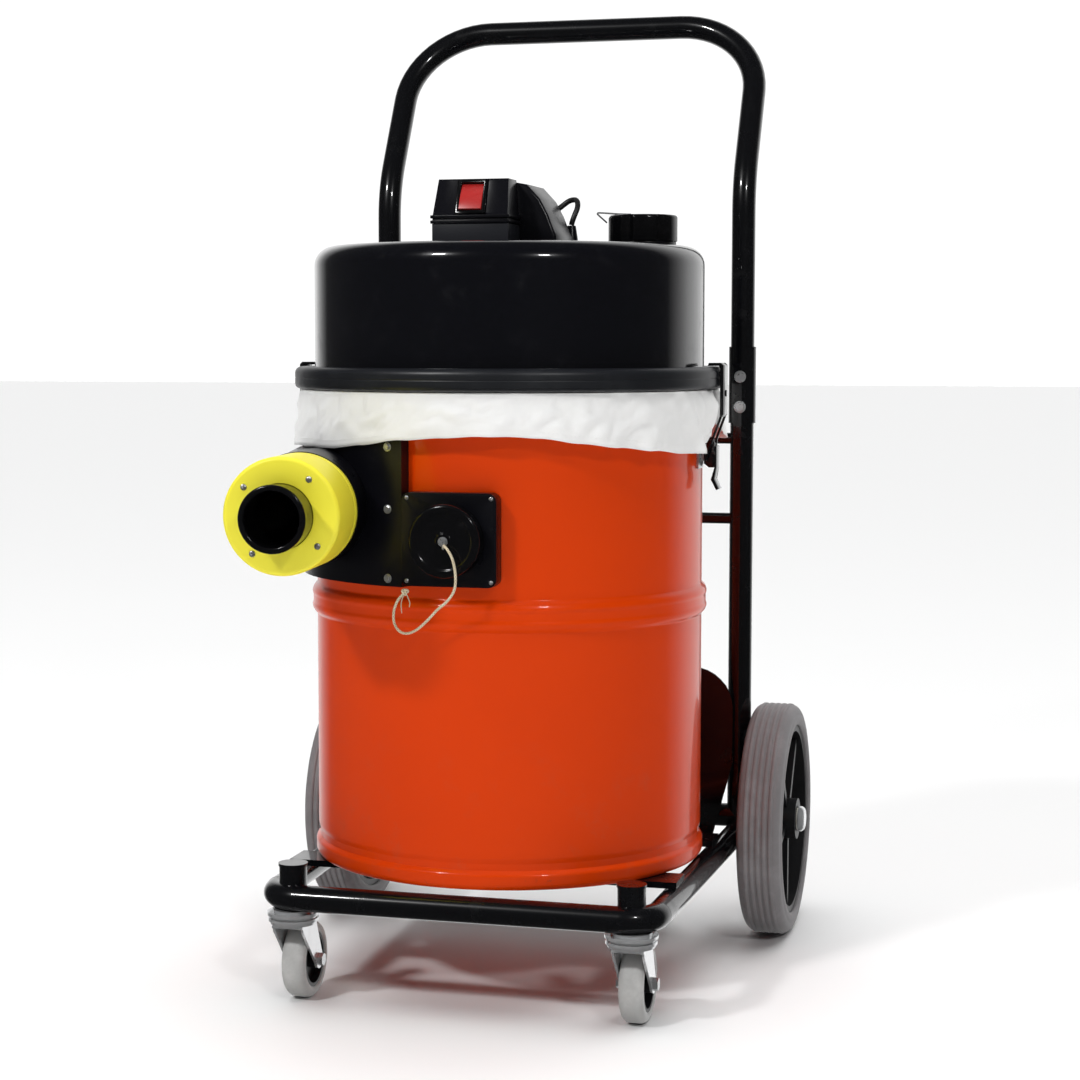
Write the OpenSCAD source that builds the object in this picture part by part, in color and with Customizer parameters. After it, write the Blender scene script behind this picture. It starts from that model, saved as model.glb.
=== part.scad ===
// Trolley-mounted drum vacuum: a steel collecting drum with a bolt-on tangential
// inlet, a latched power head and a welded tube trolley on two wheels and two castors.
// +Z is up, the castors and the inlet face -Y, the handle and the big wheels are at +Y.
// The origin is on the floor, on the drum's axis.

/* [Drum] */
// Outer radius of the drum's wall
drum_r = 195; // [190:1:198]
// Height of the drum's lowest edge above the floor
drum_z = 127; // [124:1:130]
// Height of the drum's open rim
rim_z = 594; // [585:1:594]
// Height of the middle of the rolled bead
bead_z = 387; // [330:5:395]

/* [Power head] */
// Height of the head's flat top
head_top = 738; // [725:1:760]
// Outer radius of the head's cover
head_r = 196; // [194:1:197]
// Outer radius of the buffer ring
ring_r = 216; // [214:1:217]
// Height of the buffer ring
ring_h = 22; // [20:1:24]

/* [Trolley] */
// Radius of the steel tube
tube_r = 12.7; // [12:0.1:13]
// Distance of each upright from the middle
upright_x = 200; // [198:1:201]
// Distance of the uprights and the axle behind the drum's axis
upright_y = 222; // [220:1:228]
// Height of the middle of the handle's top bar
handle_top = 994; // [950:1:1010]
// Backward lean of the handle's upper part, in degrees
handle_lean = 30; // [15:1:35]

/* [Rear wheels] */
// Radius of a rear wheel
wheel_r = 125; // [120:1:125]
// Width of a rear wheel's tyre
wheel_w = 48; // [42:1:50]
// Distance of a rear wheel's middle plane from the middle
wheel_x = 240; // [239:1:244]

/* [Castors] */
// Radius of a castor wheel
castor_r = 37.5; // [36:0.5:38]
// Width of a castor wheel
castor_w = 24; // [20:1:25]
// Distance of each swivel axis from the middle
castor_x = 168; // [166:1:169]
// How far a castor wheel trails behind its swivel axis
castor_trail = 30; // [26:1:32]

/* [Inlet] */
// Turn of the inlet's axis away from straight ahead, in degrees
inlet_turn = 7; // [6:0.5:8]
// Height of the inlet's axis
inlet_z = 486.7; // [484:0.1:488]
// Bore radius of the inlet tube
inlet_bore = 25.5; // [24:0.5:26]
// Radius of the yellow collar
collar_r = 54.3; // [52:0.1:56]
// Length of the yellow collar
collar_l = 78; // [70:1:80]

/* [Hidden] */

black = [0.03, 0.03, 0.04];
drum_red = [0.84, 0.23, 0.02];
steel = [0.75, 0.76, 0.78];
tyre_grey = [0.45, 0.44, 0.44];
light_grey = [0.68, 0.68, 0.67];
cloth = [0.93, 0.93, 0.91];
cream = [0.9, 0.85, 0.72];

tube_wall = 1.6;
// Height of the base tube's axis, and the places of its bends
base_z = 108;
front_y = -195;
corner_x = 190;
corner_bend = 30;
castor_y = -183;
rail_len = upright_y - front_y - corner_bend;
rail_flare = atan((upright_x - corner_x) / rail_len);
rail_run = rail_len / cos(rail_flare);
post_r = 13.5;
post_top = 140;
stem_r = 5.5;
// The handle: where it starts to lean, and how sharply it is bent
lean_z = 780;
lean_bend = 120;
handle_bend = 90;
joint_z = 590;
sleeve_z = 556;
sleeve_h = 82;
bolt_heights = [573.5, 606];
// The sheet behind the drum, narrower at its lower edge, and the two bars under the drum
plate_y = 206.8;
plate_t = 2.5;
plate_half = 195;
plate_top = 290;
plate_low = 97;
plate_low_half = 172;
bar_y = 95;
bar_half = 197;
// Wheels and castors
axle_r = 8;
hub_r = 22;
rim_r = 102;
hub_w = 50;
spoke_count = 5;
race_z = 2 * castor_r + 12;
castor_rim = 27;
castor_axle_r = 4;
// Running clearance of everything that turns
run = 0.05;
// The inlet's face, seen from above, and the port beside it
inlet_x = -129.7;
inlet_y = -309;
tube_out = 34.7;
tube_or = 30;
housing_or = 208.5;
boss_r = 55;
housing_low = 414;
housing_top = 560;
housing_bolts = [421.5, 487, 545.5];
housing_angles = [-18.1, -75];
screw_circle = 43;
screw_angles = [52, 142, 232, 322];
port_x = -2;
port_z = 460;
port_w = 92;
port_h = 88;
port_y = -208;
port_cap_x = -2;
port_cap_r = 34.5;
port_bore = 25;
ring_z = rim_z + 3;
ring_top = ring_z + ring_h;
// The cover's flange, held inside the buffer ring
flange_z = ring_z + 4;
flange_r = head_r + 9;
cover_t = 1.5;
// The filter's hem outside the drum
skirt_r = 211.7;
skirt_t = 2.5;
skirt_low = 551;
// The latches, in the plane of the right-hand one
pivot_x = 206;
pivot_z = 541;
link_x = 203;
link_z = 528;
latch_rivet_heights = [524, 552.5];
// The switch box on the head
box_x = -9;
box_w = 76;
box_y = -112;
box_d = 42;
box_h = 62;
lid_z = 19;
lid_slope = 13;
lid_h = box_h - lid_z;
lid_lean = atan(lid_slope / (lid_h - 8));
// Centre of the lid's sloped face, where the rocker sits
rocker_y = box_y + lid_slope / 2;
rocker_z = head_top + lid_z + 8 + (lid_h - 8) / 2;
outlet_x = 135;
outlet_y = 8;
outlet_lobes = 6;
// Radius of the thin lead from the cowl to its gland, and of the cap's tether
lead_r = 2.75;
tether_r = 1.25;

// The tether hangs from the cap's terminal to the lower left corner of the port plate
tether_route = [
    [0, -231, 457], [5, -234, 453], [10, -235, 444], [12, -233, 430], [10, -230, 416],
    [2, -226, 405], [-9, -222, 396], [-20, -219, 385], [-31, -216, 376], [-41, -214, 372],
    [-49, -213, 374], [-54, -213, 382], [-54, -213, 393], [-50, -213, 403], [-43, -213, 411]];

// The lead leaves the cowl's rear face, arches and drops into its gland
lead_route = [
    [40, 0.5, 769], [40, 8, 769], [40, 16, 771], [42, 24, 775], [47, 29, 780], [54, 30, 785],
    [61, 27, 786], [65, 21, 783], [66, 16, 777], [64, 13, 770], [62, 12, 764], [61, 12, 760]];
lead_end = lead_route[len(lead_route) - 1];

// ---- shared shapes ----

// Points of an arc, from angle a0 to a1, for the corners of turned outlines
function arc(cx, cy, r, a0, a1, n) =
    [for (i = [0 : n]) let (a = a0 + (a1 - a0) * i / n) [cx + r * cos(a), cy + r * sin(a)]];

// A rectangle about the origin with rounded corners
function round_rect(w, h, r, n) = concat(
    arc(w / 2 - r, h / 2 - r, r, 0, 90, n), arc(r - w / 2, h / 2 - r, r, 90, 180, n),
    arc(r - w / 2, r - h / 2, r, 180, 270, n), arc(w / 2 - r, r - h / 2, r, 270, 360, n));

module ring2d(ro, ri) {
    difference() {
        circle(r = ro, $fn = 64);
        circle(r = ri, $fn = 64);
    }
}

module pipe(len, ro = tube_r, ri = tube_r - tube_wall) {
    linear_extrude(len) ring2d(ro, ri);
}

// The low bead left round a tube where two lengths of it meet
module seam() {
    translate([0, 0, -1]) pipe(2, tube_r + 0.15, tube_r - tube_wall - 0.15);
}

// A pipe bend about the Z axis, from the +X side onwards
module bend(radius, angle, ro = tube_r, ri = tube_r - tube_wall) {
    rotate_extrude(angle = angle, $fn = 96) translate([radius, 0]) ring2d(ro, ri);
}

module rod(from, to, r, fn = 48) {
    d = to - from;
    len = norm(d);
    translate(from)
        rotate([0, acos(d[2] / len), atan2(d[1], d[0])])
            cylinder(h = len, r = r, $fn = fn);
}

module both_sides() {
    children();
    mirror([1, 0, 0]) children();
}

module at_inlet() {
    translate([inlet_x, inlet_y, inlet_z]) rotate([0, 0, inlet_turn]) children();
}

// A cylinder along +Y
module y_cyl(y, len, r, fn = 96) {
    translate([0, y, 0]) rotate([-90, 0, 0]) cylinder(h = len, r = r, $fn = fn);
}

// A cylinder along +X
module x_cyl(x, len, r, fn = 96) {
    translate([x, 0, 0]) rotate([0, 90, 0]) cylinder(h = len, r = r, $fn = fn);
}

module drum_hull(gap = 0.3) {
    translate([0, 0, drum_z - 50]) cylinder(h = 600, r = drum_r + gap, $fn = 180);
}

// A round cord swept along a route: its rings stand square to the route
function unit(v) = v / norm(v);
function tangent(p, i) = unit(p[min(i + 1, len(p) - 1)] - p[max(i - 1, 0)]);
function cord_ring(p, i, r, n) =
    let (t = tangent(p, i), a = unit(cross(t, [0.37, 0.51, 0.78])), b = cross(t, a))
    [for (k = [0 : n - 1]) p[i] + r * (cos(360 * k / n) * a + sin(360 * k / n) * b)];

module cord(p, r, n = 8) {
    last = len(p) - 1;
    points = [for (i = [0 : last]) each cord_ring(p, i, r, n)];
    sides = [for (i = [0 : last - 1], k = [0 : n - 1]) let (
        a = i * n + k,
        b = i * n + (k + 1) % n)
        each [[a, b, b + n], [a, b + n, a + n]]];
    caps = [[for (k = [n - 1 : -1 : 0]) k], [for (k = [0 : n - 1]) last * n + k]];
    polyhedron(points, concat(sides, caps));
}

// ---- trolley frame ----

// One side of the base: half the front tube, its bend and the side rail
module base_half() {
    translate([0, front_y, base_z]) rotate([0, 90, 0]) pipe(corner_x - corner_bend);
    translate([corner_x - corner_bend, front_y, base_z]) rotate([0, 90, 0]) seam();
    translate([corner_x - corner_bend, front_y + corner_bend, base_z])
        rotate([0, 0, -90]) bend(corner_bend, 90 - rail_flare);
    at_rail() {
        seam();
        pipe(rail_run + 14);
    }
}

// Children drawn up Z lie along the right-hand side rail, from the end of its bend
module at_rail() {
    translate([corner_x - corner_bend, front_y + corner_bend, base_z]) rotate([0, 0, -rail_flare])
        translate([corner_bend, 0, 0]) rotate([-90, 0, 0]) children();
}

module base_loop() {
    color(black) difference() {
        both_sides() base_half();
        both_sides() translate([castor_x, castor_y, base_z - 20])
            cylinder(h = 60, r = post_r + 0.05, $fn = 64);
        translate([0, upright_y, wheel_r]) x_cyl(-250, 500, axle_r + 0.05);
    }
}

module upright() {
    difference() {
        translate([upright_x, upright_y, base_z]) pipe(joint_z - base_z);
        at_rail() cylinder(h = rail_run + 40, r = tube_r + 0.05, $fn = 64);
        translate([0, upright_y, wheel_r]) x_cyl(100, 200, axle_r);
        translate([upright_x, upright_y, bolt_heights[0]]) y_cyl(-20, 40, 3, 32);
    }
}

module left_upright() { color(black) mirror([1, 0, 0]) upright(); }
module right_upright() { color(black) upright(); }

module cross_rods() {
    color(black) for (z = [452, 539])
        translate([0, upright_y, z]) difference() {
            x_cyl(-upright_x, 2 * upright_x, 6);
            both_sides() translate([upright_x, 0, -20]) cylinder(h = 40, r = tube_r + 0.05, $fn = 64);
        }
}

module axle_tube() {
    color(black) translate([0, upright_y, wheel_r]) difference() {
        x_cyl(-upright_x, 2 * upright_x, tube_r);
        x_cyl(-250, 500, axle_r);
        both_sides() translate([upright_x, 0, -20]) cylinder(h = 40, r = tube_r + 0.05, $fn = 64);
    }
}

// A pressed sheet behind the drum, with a shelf folded forward under the drum's edge
module rear_plate() {
    half = concat([[0, plate_low], [plate_low_half, plate_low], [plate_half, 185]],
        arc(plate_half - 45, plate_top - 45, 45, 0, 90, 8), [[0, plate_top]]);
    color(black) {
        both_sides() translate([0, plate_y + plate_t, 0]) rotate([90, 0, 0])
            linear_extrude(plate_t) polygon(half);
        translate([-165, 130, plate_low]) cube([330, plate_y - 130 + 1, plate_t]);
    }
}

module support_bars() {
    color(black) for (s = [-1, 1])
        translate([-bar_half, s * bar_y - 20, base_z + tube_r])
            cube([2 * bar_half, 40, drum_z - base_z - tube_r]);
}

module handle_sleeves() {
    color(black) both_sides() translate([upright_x, upright_y, sleeve_z]) difference() {
        cylinder(h = sleeve_h, r = 14.7, $fn = 64);
        translate([0, 0, -1]) cylinder(h = sleeve_h + 2, r = tube_r, $fn = 64);
        for (z = bolt_heights) translate([0, 0, z - sleeve_z]) y_cyl(-20, 40, 3, 32);
    }
}

// One leg of the handle with its lean, its corner and half the top bar
module handle_half() {
    top_run = (handle_top - lean_z - lean_bend * sin(handle_lean)) / cos(handle_lean);
    translate([upright_x, upright_y, joint_z + 0.5]) pipe(lean_z - joint_z - 0.5);
    translate([upright_x, upright_y, lean_z]) seam();
    translate([upright_x, upright_y + lean_bend, lean_z])
        rotate([0, -90, 0]) rotate([0, 0, -90]) bend(lean_bend, handle_lean);
    translate([0, upright_y + lean_bend * (1 - cos(handle_lean)), lean_z + lean_bend * sin(handle_lean)])
        rotate([-handle_lean, 0, 0]) {
            translate([upright_x, 0, 0]) seam();
            translate([upright_x, 0, 0]) pipe(top_run - handle_bend);
            translate([upright_x, 0, top_run - handle_bend]) seam();
            translate([upright_x - handle_bend, 0, top_run - handle_bend])
                rotate([90, 0, 0]) bend(handle_bend, 90);
            translate([upright_x - handle_bend, 0, top_run]) rotate([0, 90, 0]) seam();
            translate([0, 0, top_run]) rotate([0, 90, 0]) pipe(upright_x - handle_bend);
        }
}

module upper_handle() {
    color(black) difference() {
        both_sides() handle_half();
        both_sides() translate([upright_x, upright_y, bolt_heights[1]]) y_cyl(-20, 40, 3, 32);
    }
}

module sleeve_bolts() {
    color(steel) both_sides() for (z = bolt_heights)
        translate([upright_x, upright_y, z]) {
            y_cyl(-14.6, 29.2, 2.9, 32);
            y_cyl(-17.5, 2.8, 5.7, 32);
            y_cyl(14.7, 4, 5, 6);
        }
}

module castor_posts() {
    color(black) both_sides() translate([castor_x, castor_y, base_z - tube_r]) difference() {
        union() {
            cylinder(h = post_top - base_z + 10, r = post_r, $fn = 64);
            translate([0, 0, post_top - base_z + 10]) cylinder(h = 2.7, r = post_r + 0.8, $fn = 64);
        }
        translate([0, 0, -1]) cylinder(h = 30, r = stem_r, $fn = 48);
    }
}

// ---- castors: everything is drawn about the right-hand swivel axis ----

module castor_stems() {
    color(steel) both_sides() translate([castor_x, castor_y, 0]) {
        translate([0, 0, race_z - 8]) cylinder(h = 32, r = stem_r, $fn = 48);
        translate([0, 0, race_z]) cylinder(h = 2.5, r = 23, $fn = 64);
        translate([0, 0, race_z + 2.5]) cylinder(h = 3, r = 25.5, $fn = 64);
        translate([0, 0, race_z + 5.5]) cylinder(h = base_z - tube_r - race_z - 5.6, r = 20, $fn = 64);
    }
}

// The outline of one fork leg, seen from the side, with Y to the right
function leg_outline() = concat(
    [[-17, race_z - 6], [-15, race_z - 12]],
    arc(castor_trail, castor_r, 9, 200, 380, 8),
    [[20, race_z - 6]]);

module fork() {
    color(steel) difference() {
        union() {
            translate([0, 0, race_z - 3.3]) cylinder(h = 3, r = 24.5, $fn = 64);
            translate([0, 0, race_z - 6.2]) cylinder(h = 2.9, r = 22.5, $fn = 64);
            translate([-15.7, -18, race_z - 8.7]) cube([31.4, 38, 2.5]);
            for (x = [-15.7, 13.2]) translate([x, 0, 0]) rotate([90, 0, 90])
                linear_extrude(2.5) polygon(leg_outline());
        }
        translate([0, 0, race_z - 20]) cylinder(h = 40, r = stem_r + run, $fn = 48);
        translate([0, castor_trail, castor_r]) x_cyl(-30, 60, castor_axle_r, 48);
    }
}

module at_castor(side) {
    translate([side * castor_x, castor_y, 0]) children();
}

module left_fork() { at_castor(-1) fork(); }
module right_fork() { at_castor(1) fork(); }

module castor_bolt() {
    color(steel) translate([0, castor_trail, castor_r]) {
        x_cyl(-17.7, 35.4, castor_axle_r, 48);
        x_cyl(15.7, 4.5, 6.5, 6);
        x_cyl(-20.2, 4.5, 6.5, 6);
    }
}

module left_castor_bolt() { at_castor(-1) castor_bolt(); }
module right_castor_bolt() { at_castor(1) castor_bolt(); }

module castor_hub() {
    color(black) translate([0, castor_trail, castor_r]) rotate([0, 90, 0]) difference() {
        union() {
            translate([0, 0, -3.5]) cylinder(h = 7, r = castor_rim, $fn = 96);
            translate([0, 0, -castor_w / 2 + 1]) difference() {
                cylinder(h = castor_w - 2, r = castor_rim, $fn = 96);
                translate([0, 0, -1]) cylinder(h = castor_w, r = castor_rim - 3.5, $fn = 96);
            }
            translate([0, 0, -12.8]) cylinder(h = 25.6, r = 8.5, $fn = 64);
        }
        translate([0, 0, -20]) cylinder(h = 40, r = castor_axle_r + run, $fn = 48);
    }
}

module left_castor_hub() { at_castor(-1) castor_hub(); }
module right_castor_hub() { at_castor(1) castor_hub(); }

// Half of a tyre's outline in section, as [distance out, distance along the axle]
function tyre_outline(ro, ri, w, r) = concat(
    [[ri, -w / 2 + r], [ri + 2, -w / 2]],
    arc(ro - r, -w / 2 + r, r, -90, -15, 6), arc(ro - r, w / 2 - r, r, 15, 90, 6),
    [[ri + 2, w / 2], [ri, w / 2 - r]]);

module castor_tyre() {
    color(light_grey) translate([0, castor_trail, castor_r]) rotate([0, 90, 0])
        rotate_extrude($fn = 96) polygon(tyre_outline(castor_r, castor_rim, castor_w, 8));
}

module left_castor_tyre() { at_castor(-1) castor_tyre(); }
module right_castor_tyre() { at_castor(1) castor_tyre(); }

// ---- rear wheels ----

module axle() {
    color(steel) translate([0, upright_y, wheel_r]) x_cyl(-268, 536, axle_r);
}

module axle_caps() {
    cap_x = wheel_x + hub_w / 2 + 1.5;
    color(steel) both_sides() translate([cap_x, upright_y, wheel_r]) rotate([0, 90, 0])
        difference() {
            rotate_extrude($fn = 64)
                polygon(concat([[0, 0], [14, 0]], arc(8, 1, 6, 0, 90, 5), [[0, 7]]));
            translate([0, 0, -1]) cylinder(h = 268 - cap_x + 1, r = axle_r, $fn = 48);
        }
}

module wheel_hub() {
    color(black) rotate([0, 90, 0]) difference() {
        union() {
            difference() {
                translate([0, 0, -20]) cylinder(h = 40, r = rim_r, $fn = 180);
                translate([0, 0, -21]) cylinder(h = 42, r = rim_r - 7, $fn = 180);
            }
            translate([0, 0, -hub_w / 2]) cylinder(h = hub_w, r = hub_r, $fn = 96);
            for (i = [0 : spoke_count - 1]) rotate([0, 0, 360 * i / spoke_count]) {
                translate([hub_r - 3, -14, -5]) cube([rim_r - hub_r - 2, 28, 10]);
                translate([hub_r - 3, -4, -15]) cube([rim_r - hub_r - 2, 8, 30]);
            }
        }
        translate([0, 0, -40]) cylinder(h = 80, r = 12, $fn = 64);
    }
}

module left_hub() { translate([-wheel_x, upright_y, wheel_r]) wheel_hub(); }
module right_hub() { translate([wheel_x, upright_y, wheel_r]) wheel_hub(); }

// The tread carries raised ribs between shallow grooves
module wheel_tyre() {
    color(tyre_grey) rotate([0, 90, 0]) difference() {
        rotate_extrude($fn = 180) polygon(tyre_outline(wheel_r, rim_r, wheel_w, 13));
        for (z = [-10, -3.3, 3.3, 10]) translate([0, 0, z - 0.8]) difference() {
            cylinder(h = 1.6, r = wheel_r + 2, $fn = 180);
            translate([0, 0, -1]) cylinder(h = 4, r = wheel_r - 1.2, $fn = 180);
        }
    }
}

module left_tyre() { translate([-wheel_x, upright_y, wheel_r]) wheel_tyre(); }
module right_tyre() { translate([wheel_x, upright_y, wheel_r]) wheel_tyre(); }

module wheel_bush() {
    color(light_grey) rotate([0, 90, 0]) translate([0, 0, -hub_w / 2 - 1]) difference() {
        cylinder(h = hub_w + 2, r = 12, $fn = 64);
        translate([0, 0, -1]) cylinder(h = hub_w + 4, r = axle_r + run, $fn = 64);
    }
}

module left_bush() { translate([-wheel_x, upright_y, wheel_r]) wheel_bush(); }
module right_bush() { translate([wheel_x, upright_y, wheel_r]) wheel_bush(); }

// ---- drum ----

// The drum's side in section, moved inwards by t
function drum_side(t) = [
    [drum_r + 2 - t, drum_z + 3], [drum_r + 2.5 - t, drum_z + 6], [drum_r + 2.5 - t, drum_z + 15],
    [drum_r + 1 - t, drum_z + 18], [drum_r - 2 - t, drum_z + 20], [drum_r - 2 - t, drum_z + 23],
    [drum_r - 0.7 - t, drum_z + 28], [drum_r - t, drum_z + 35],
    [drum_r - t, bead_z - 16], [drum_r + 1.2 - t, bead_z - 14.5], [drum_r + 4.2 - t, bead_z - 11],
    [drum_r + 5 - t, bead_z - 8], [drum_r + 4.4 - t, bead_z - 4], [drum_r + 4.4 - t, bead_z + 4],
    [drum_r + 5 - t, bead_z + 8], [drum_r + 4.2 - t, bead_z + 11], [drum_r + 1.2 - t, bead_z + 14.5],
    [drum_r - t, bead_z + 16]];

module drum() {
    wall = 1.5;
    outside = concat([[0, drum_z + 4], [drum_r - 7, drum_z + 4], [drum_r - 7, drum_z],
        [drum_r, drum_z]], drum_side(0), [[drum_r, rim_z - 6], [drum_r + 3, rim_z - 5],
        [drum_r + 3, rim_z], [0, rim_z]]);
    inside = concat([[0, drum_z + 7], [drum_r - 9, drum_z + 7]], [for (p = drum_side(wall + 2))
        if (p[1] > drum_z + 7 && p[1] < drum_z + 30) p], [for (p = drum_side(wall))
        if (p[1] > drum_z + 30) p], [[drum_r - wall, rim_z + 1], [0, rim_z + 1]]);
    color(drum_red) difference() {
        rotate_extrude($fn = 180) polygon(outside);
        rotate_extrude($fn = 180) polygon(inside);
        at_inlet() y_cyl(100, 140, inlet_bore + 1);
        translate([port_cap_x, 0, port_z]) y_cyl(-250, 100, port_bore + 1);
    }
}

// ---- inlet and port ----

module inlet_housing() {
    color(black) difference() {
        union() {
            translate([0, 0, housing_low]) rotate([0, 0, 192]) rotate_extrude(angle = 64.2, $fn = 180)
                translate([drum_r - 5, 0]) square([housing_or - drum_r + 5, housing_top - housing_low]);
            at_inlet() y_cyl(collar_l, 92, boss_r);
        }
        drum_hull();
        at_inlet() y_cyl(collar_l - 1, 43, tube_or);
        at_inlet() y_cyl(collar_l, 160, inlet_bore + 1);
        for (z = housing_bolts, a = housing_angles) rotate([0, 0, a])
            translate([0, 0, z]) y_cyl(-housing_or - 5, 14, 2.5, 32);
    }
}

// Hexagon-headed screws down both edges of the housing
module housing_screws() {
    color(steel) for (z = housing_bolts, a = housing_angles) rotate([0, 0, a]) translate([0, 0, z]) {
        y_cyl(-housing_or - 1.5, 10.5, 2.5, 32);
        y_cyl(-housing_or - 3.8, 3.2, 4.6, 32);
    }
}

module collar_screw_places() {
    at_inlet() for (a = screw_angles)
        translate([screw_circle * cos(a), 0, screw_circle * sin(a)]) children();
}

module inlet_collar() {
    color([0.96, 0.91, 0.28]) difference() {
        at_inlet() rotate([-90, 0, 0]) rotate_extrude($fn = 128)
            polygon(concat([[tube_or, 0]], arc(collar_r - 4, 4, 4, -90, 0, 5),
                [[collar_r, collar_l - 0.2], [tube_or, collar_l - 0.2]]));
        collar_screw_places() y_cyl(-1, 21, 2.2, 32);
    }
}

module collar_screws() {
    color(steel) collar_screw_places() {
        y_cyl(-0.6, 20, 2.2, 32);
        difference() {
            y_cyl(-2.2, 1.6, 3.9, 32);
            translate([-0.5, -3, -3]) cube([1, 1.6, 6]);
        }
    }
}

module inlet_tube() {
    color(black) at_inlet() rotate([-90, 0, 0]) rotate_extrude($fn = 128)
        polygon([[inlet_bore, -tube_out + 2], [inlet_bore + 1.5, -tube_out], [tube_or - 0.5, -tube_out],
            [tube_or + 1, -tube_out + 1.5], [tube_or + 1, -tube_out + 6], [tube_or, -tube_out + 7.5],
            [tube_or, collar_l + 41.5], [inlet_bore, collar_l + 41.5]]);
}

module port_plate() {
    color(black) difference() {
        translate([port_x, port_y, port_z]) rotate([-90, 0, 0])
            linear_extrude(40) polygon(round_rect(port_w, port_h, 8, 4));
        drum_hull();
        rotate([0, 0, -13.5]) translate([-200, -260, 0]) cube([199.6, 260, 700]);
        translate([port_cap_x, 0, port_z]) y_cyl(-250, 100, port_bore);
        port_rivet_places() y_cyl(port_y - 5, 12, 2, 32);
    }
}

module port_rivet_places() {
    for (x = [-1, 1], z = [-1, 1])
        translate([port_x + x * (port_w / 2 - 5), 0, port_z + z * (port_h / 2 - 5)]) children();
}

module rivet(depth) {
    cylinder(h = depth, r = 2, $fn = 32);
    mirror([0, 0, 1]) rotate_extrude($fn = 32)
        polygon([[0, 0], [3.6, 0], [3.2, 0.9], [2, 1.5], [0, 1.6]]);
}

// Pop rivets through the port plate's corners and through the latch bases
module rivets() {
    color(steel) {
        port_rivet_places() translate([0, port_y, 0]) rotate([-90, 0, 0]) rivet(7);
        both_sides() for (z = latch_rivet_heights)
            translate([drum_r + 2.1, 0, z]) rotate([0, -90, 0]) rivet(2.1);
    }
}

module port_cap() {
    color(black) difference() {
        union() {
            translate([port_cap_x, port_y - 0.4, port_z]) rotate([90, 0, 0]) rotate_extrude($fn = 96)
                polygon(concat([[0, 0], [port_cap_r, 0]], arc(port_cap_r - 3, 15, 3, 0, 90, 4), [[0, 18]]));
            translate([port_cap_x, 0, port_z]) y_cyl(port_y - 0.4, 14, port_bore - run);
        }
        translate([port_cap_x, 0, port_z]) y_cyl(port_y - 19, 15, 2.2, 32);
    }
}

// The screw in the cap's middle, with the ring terminal that holds the tether
module cap_screw() {
    face = port_y - 18.4;
    color(steel) translate([port_cap_x, 0, port_z]) {
        y_cyl(face - 1.2, 14, 2.2, 32);
        difference() {
            y_cyl(face - 1.2, 1.2, 4.6, 32);
            y_cyl(face - 1.3, 1.4, 2.2, 32);
        }
        y_cyl(face - 3.6, 2.4, 3.6, 32);
        rod([0.5, face - 2.2, -4.2], [1.6, face - 4, -6.6], 1.1, 24);
    }
}

module cap_tether() {
    color(cream) cord(tether_route, tether_r);
}

// ---- latches, drawn on the right-hand side ----

module latch_base() {
    translate([0, 0, 519]) rotate([0, 0, -3.9]) rotate_extrude(angle = 7.8, $fn = 180)
        translate([drum_r + 0.1, 0]) square([2, 37]);
    for (y = [-6.5, 5]) translate([0, y + 1.5, 0]) rotate([90, 0, 0]) linear_extrude(1.5)
        difference() {
            union() {
                translate([pivot_x, pivot_z]) circle(r = 5, $fn = 48);
                polygon([[drum_r + 1.5, 524], [drum_r + 1.5, 536], [pivot_x - 3.6, pivot_z + 3.4],
                    [pivot_x + 3.4, pivot_z - 3.6]]);
            }
            translate([pivot_x, pivot_z]) circle(r = 2 + run, $fn = 32);
        }
}

module latch_bases() {
    color(steel) difference() {
        both_sides() latch_base();
        both_sides() for (z = latch_rivet_heights) translate([0, 0, z]) x_cyl(150, 60, 2, 32);
    }
}

// A folded lever: two cheeks outside the ears, a web, and a lip that flares outwards
module latch_lever() {
    cheek = [[201, 547], [201, 524], [206, 520], [211.5, 520], [211.5, 547]];
    web = [[211.5, 541], [211.5, 520], [208, 508], [213.5, 497.5], [216, 499], [211.5, 508.5],
        [213.5, 520], [213.5, 541]];
    for (y = [-8.5, 7]) translate([0, y + 1.5, 0]) rotate([90, 0, 0]) difference() {
        linear_extrude(1.5) polygon(cheek);
        translate([link_x, link_z, -1]) cylinder(h = 4, r = 1.3 + run, $fn = 32);
    }
    translate([0, 8.5, 0]) rotate([90, 0, 0]) linear_extrude(17) polygon(web);
    translate([pivot_x, -7.5, pivot_z]) y_cyl(0, 15, 2, 32);
}

module left_latch_lever() { color(black) rotate([0, 0, 180]) latch_lever(); }
module right_latch_lever() { color(black) latch_lever(); }

// The hooked strap over the buffer ring, on its wire bail
module latch_hook() {
    hook = [[217.3, 571], [219, 570], [220.6, 572], [220.6, ring_top + 1.5], [218, ring_top + 4],
        [206, ring_top + 4], [205, ring_top + 1.2], [216, ring_top + 1], [217.3, ring_top - 1]];
    translate([0, 12.6, 0]) rotate([90, 0, 0]) linear_extrude(25.2) polygon(hook);
    for (s = [-1, 1]) {
        rod([link_x, s * 11.3, link_z], [218.8, s * 11.3, 572], 1.3, 32);
        translate([link_x, 0, link_z]) y_cyl(s > 0 ? 7.2 : -12.6, 5.4, 1.3, 32);
    }
    translate([220.6, 0, 593]) rotate([0, 90, 0]) cylinder(h = 1.5, r = 3.2, $fn = 32);
}

module left_latch_hook() { color(black) rotate([0, 0, 180]) latch_hook(); }
module right_latch_hook() { color(black) latch_hook(); }

// ---- power head ----

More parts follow.
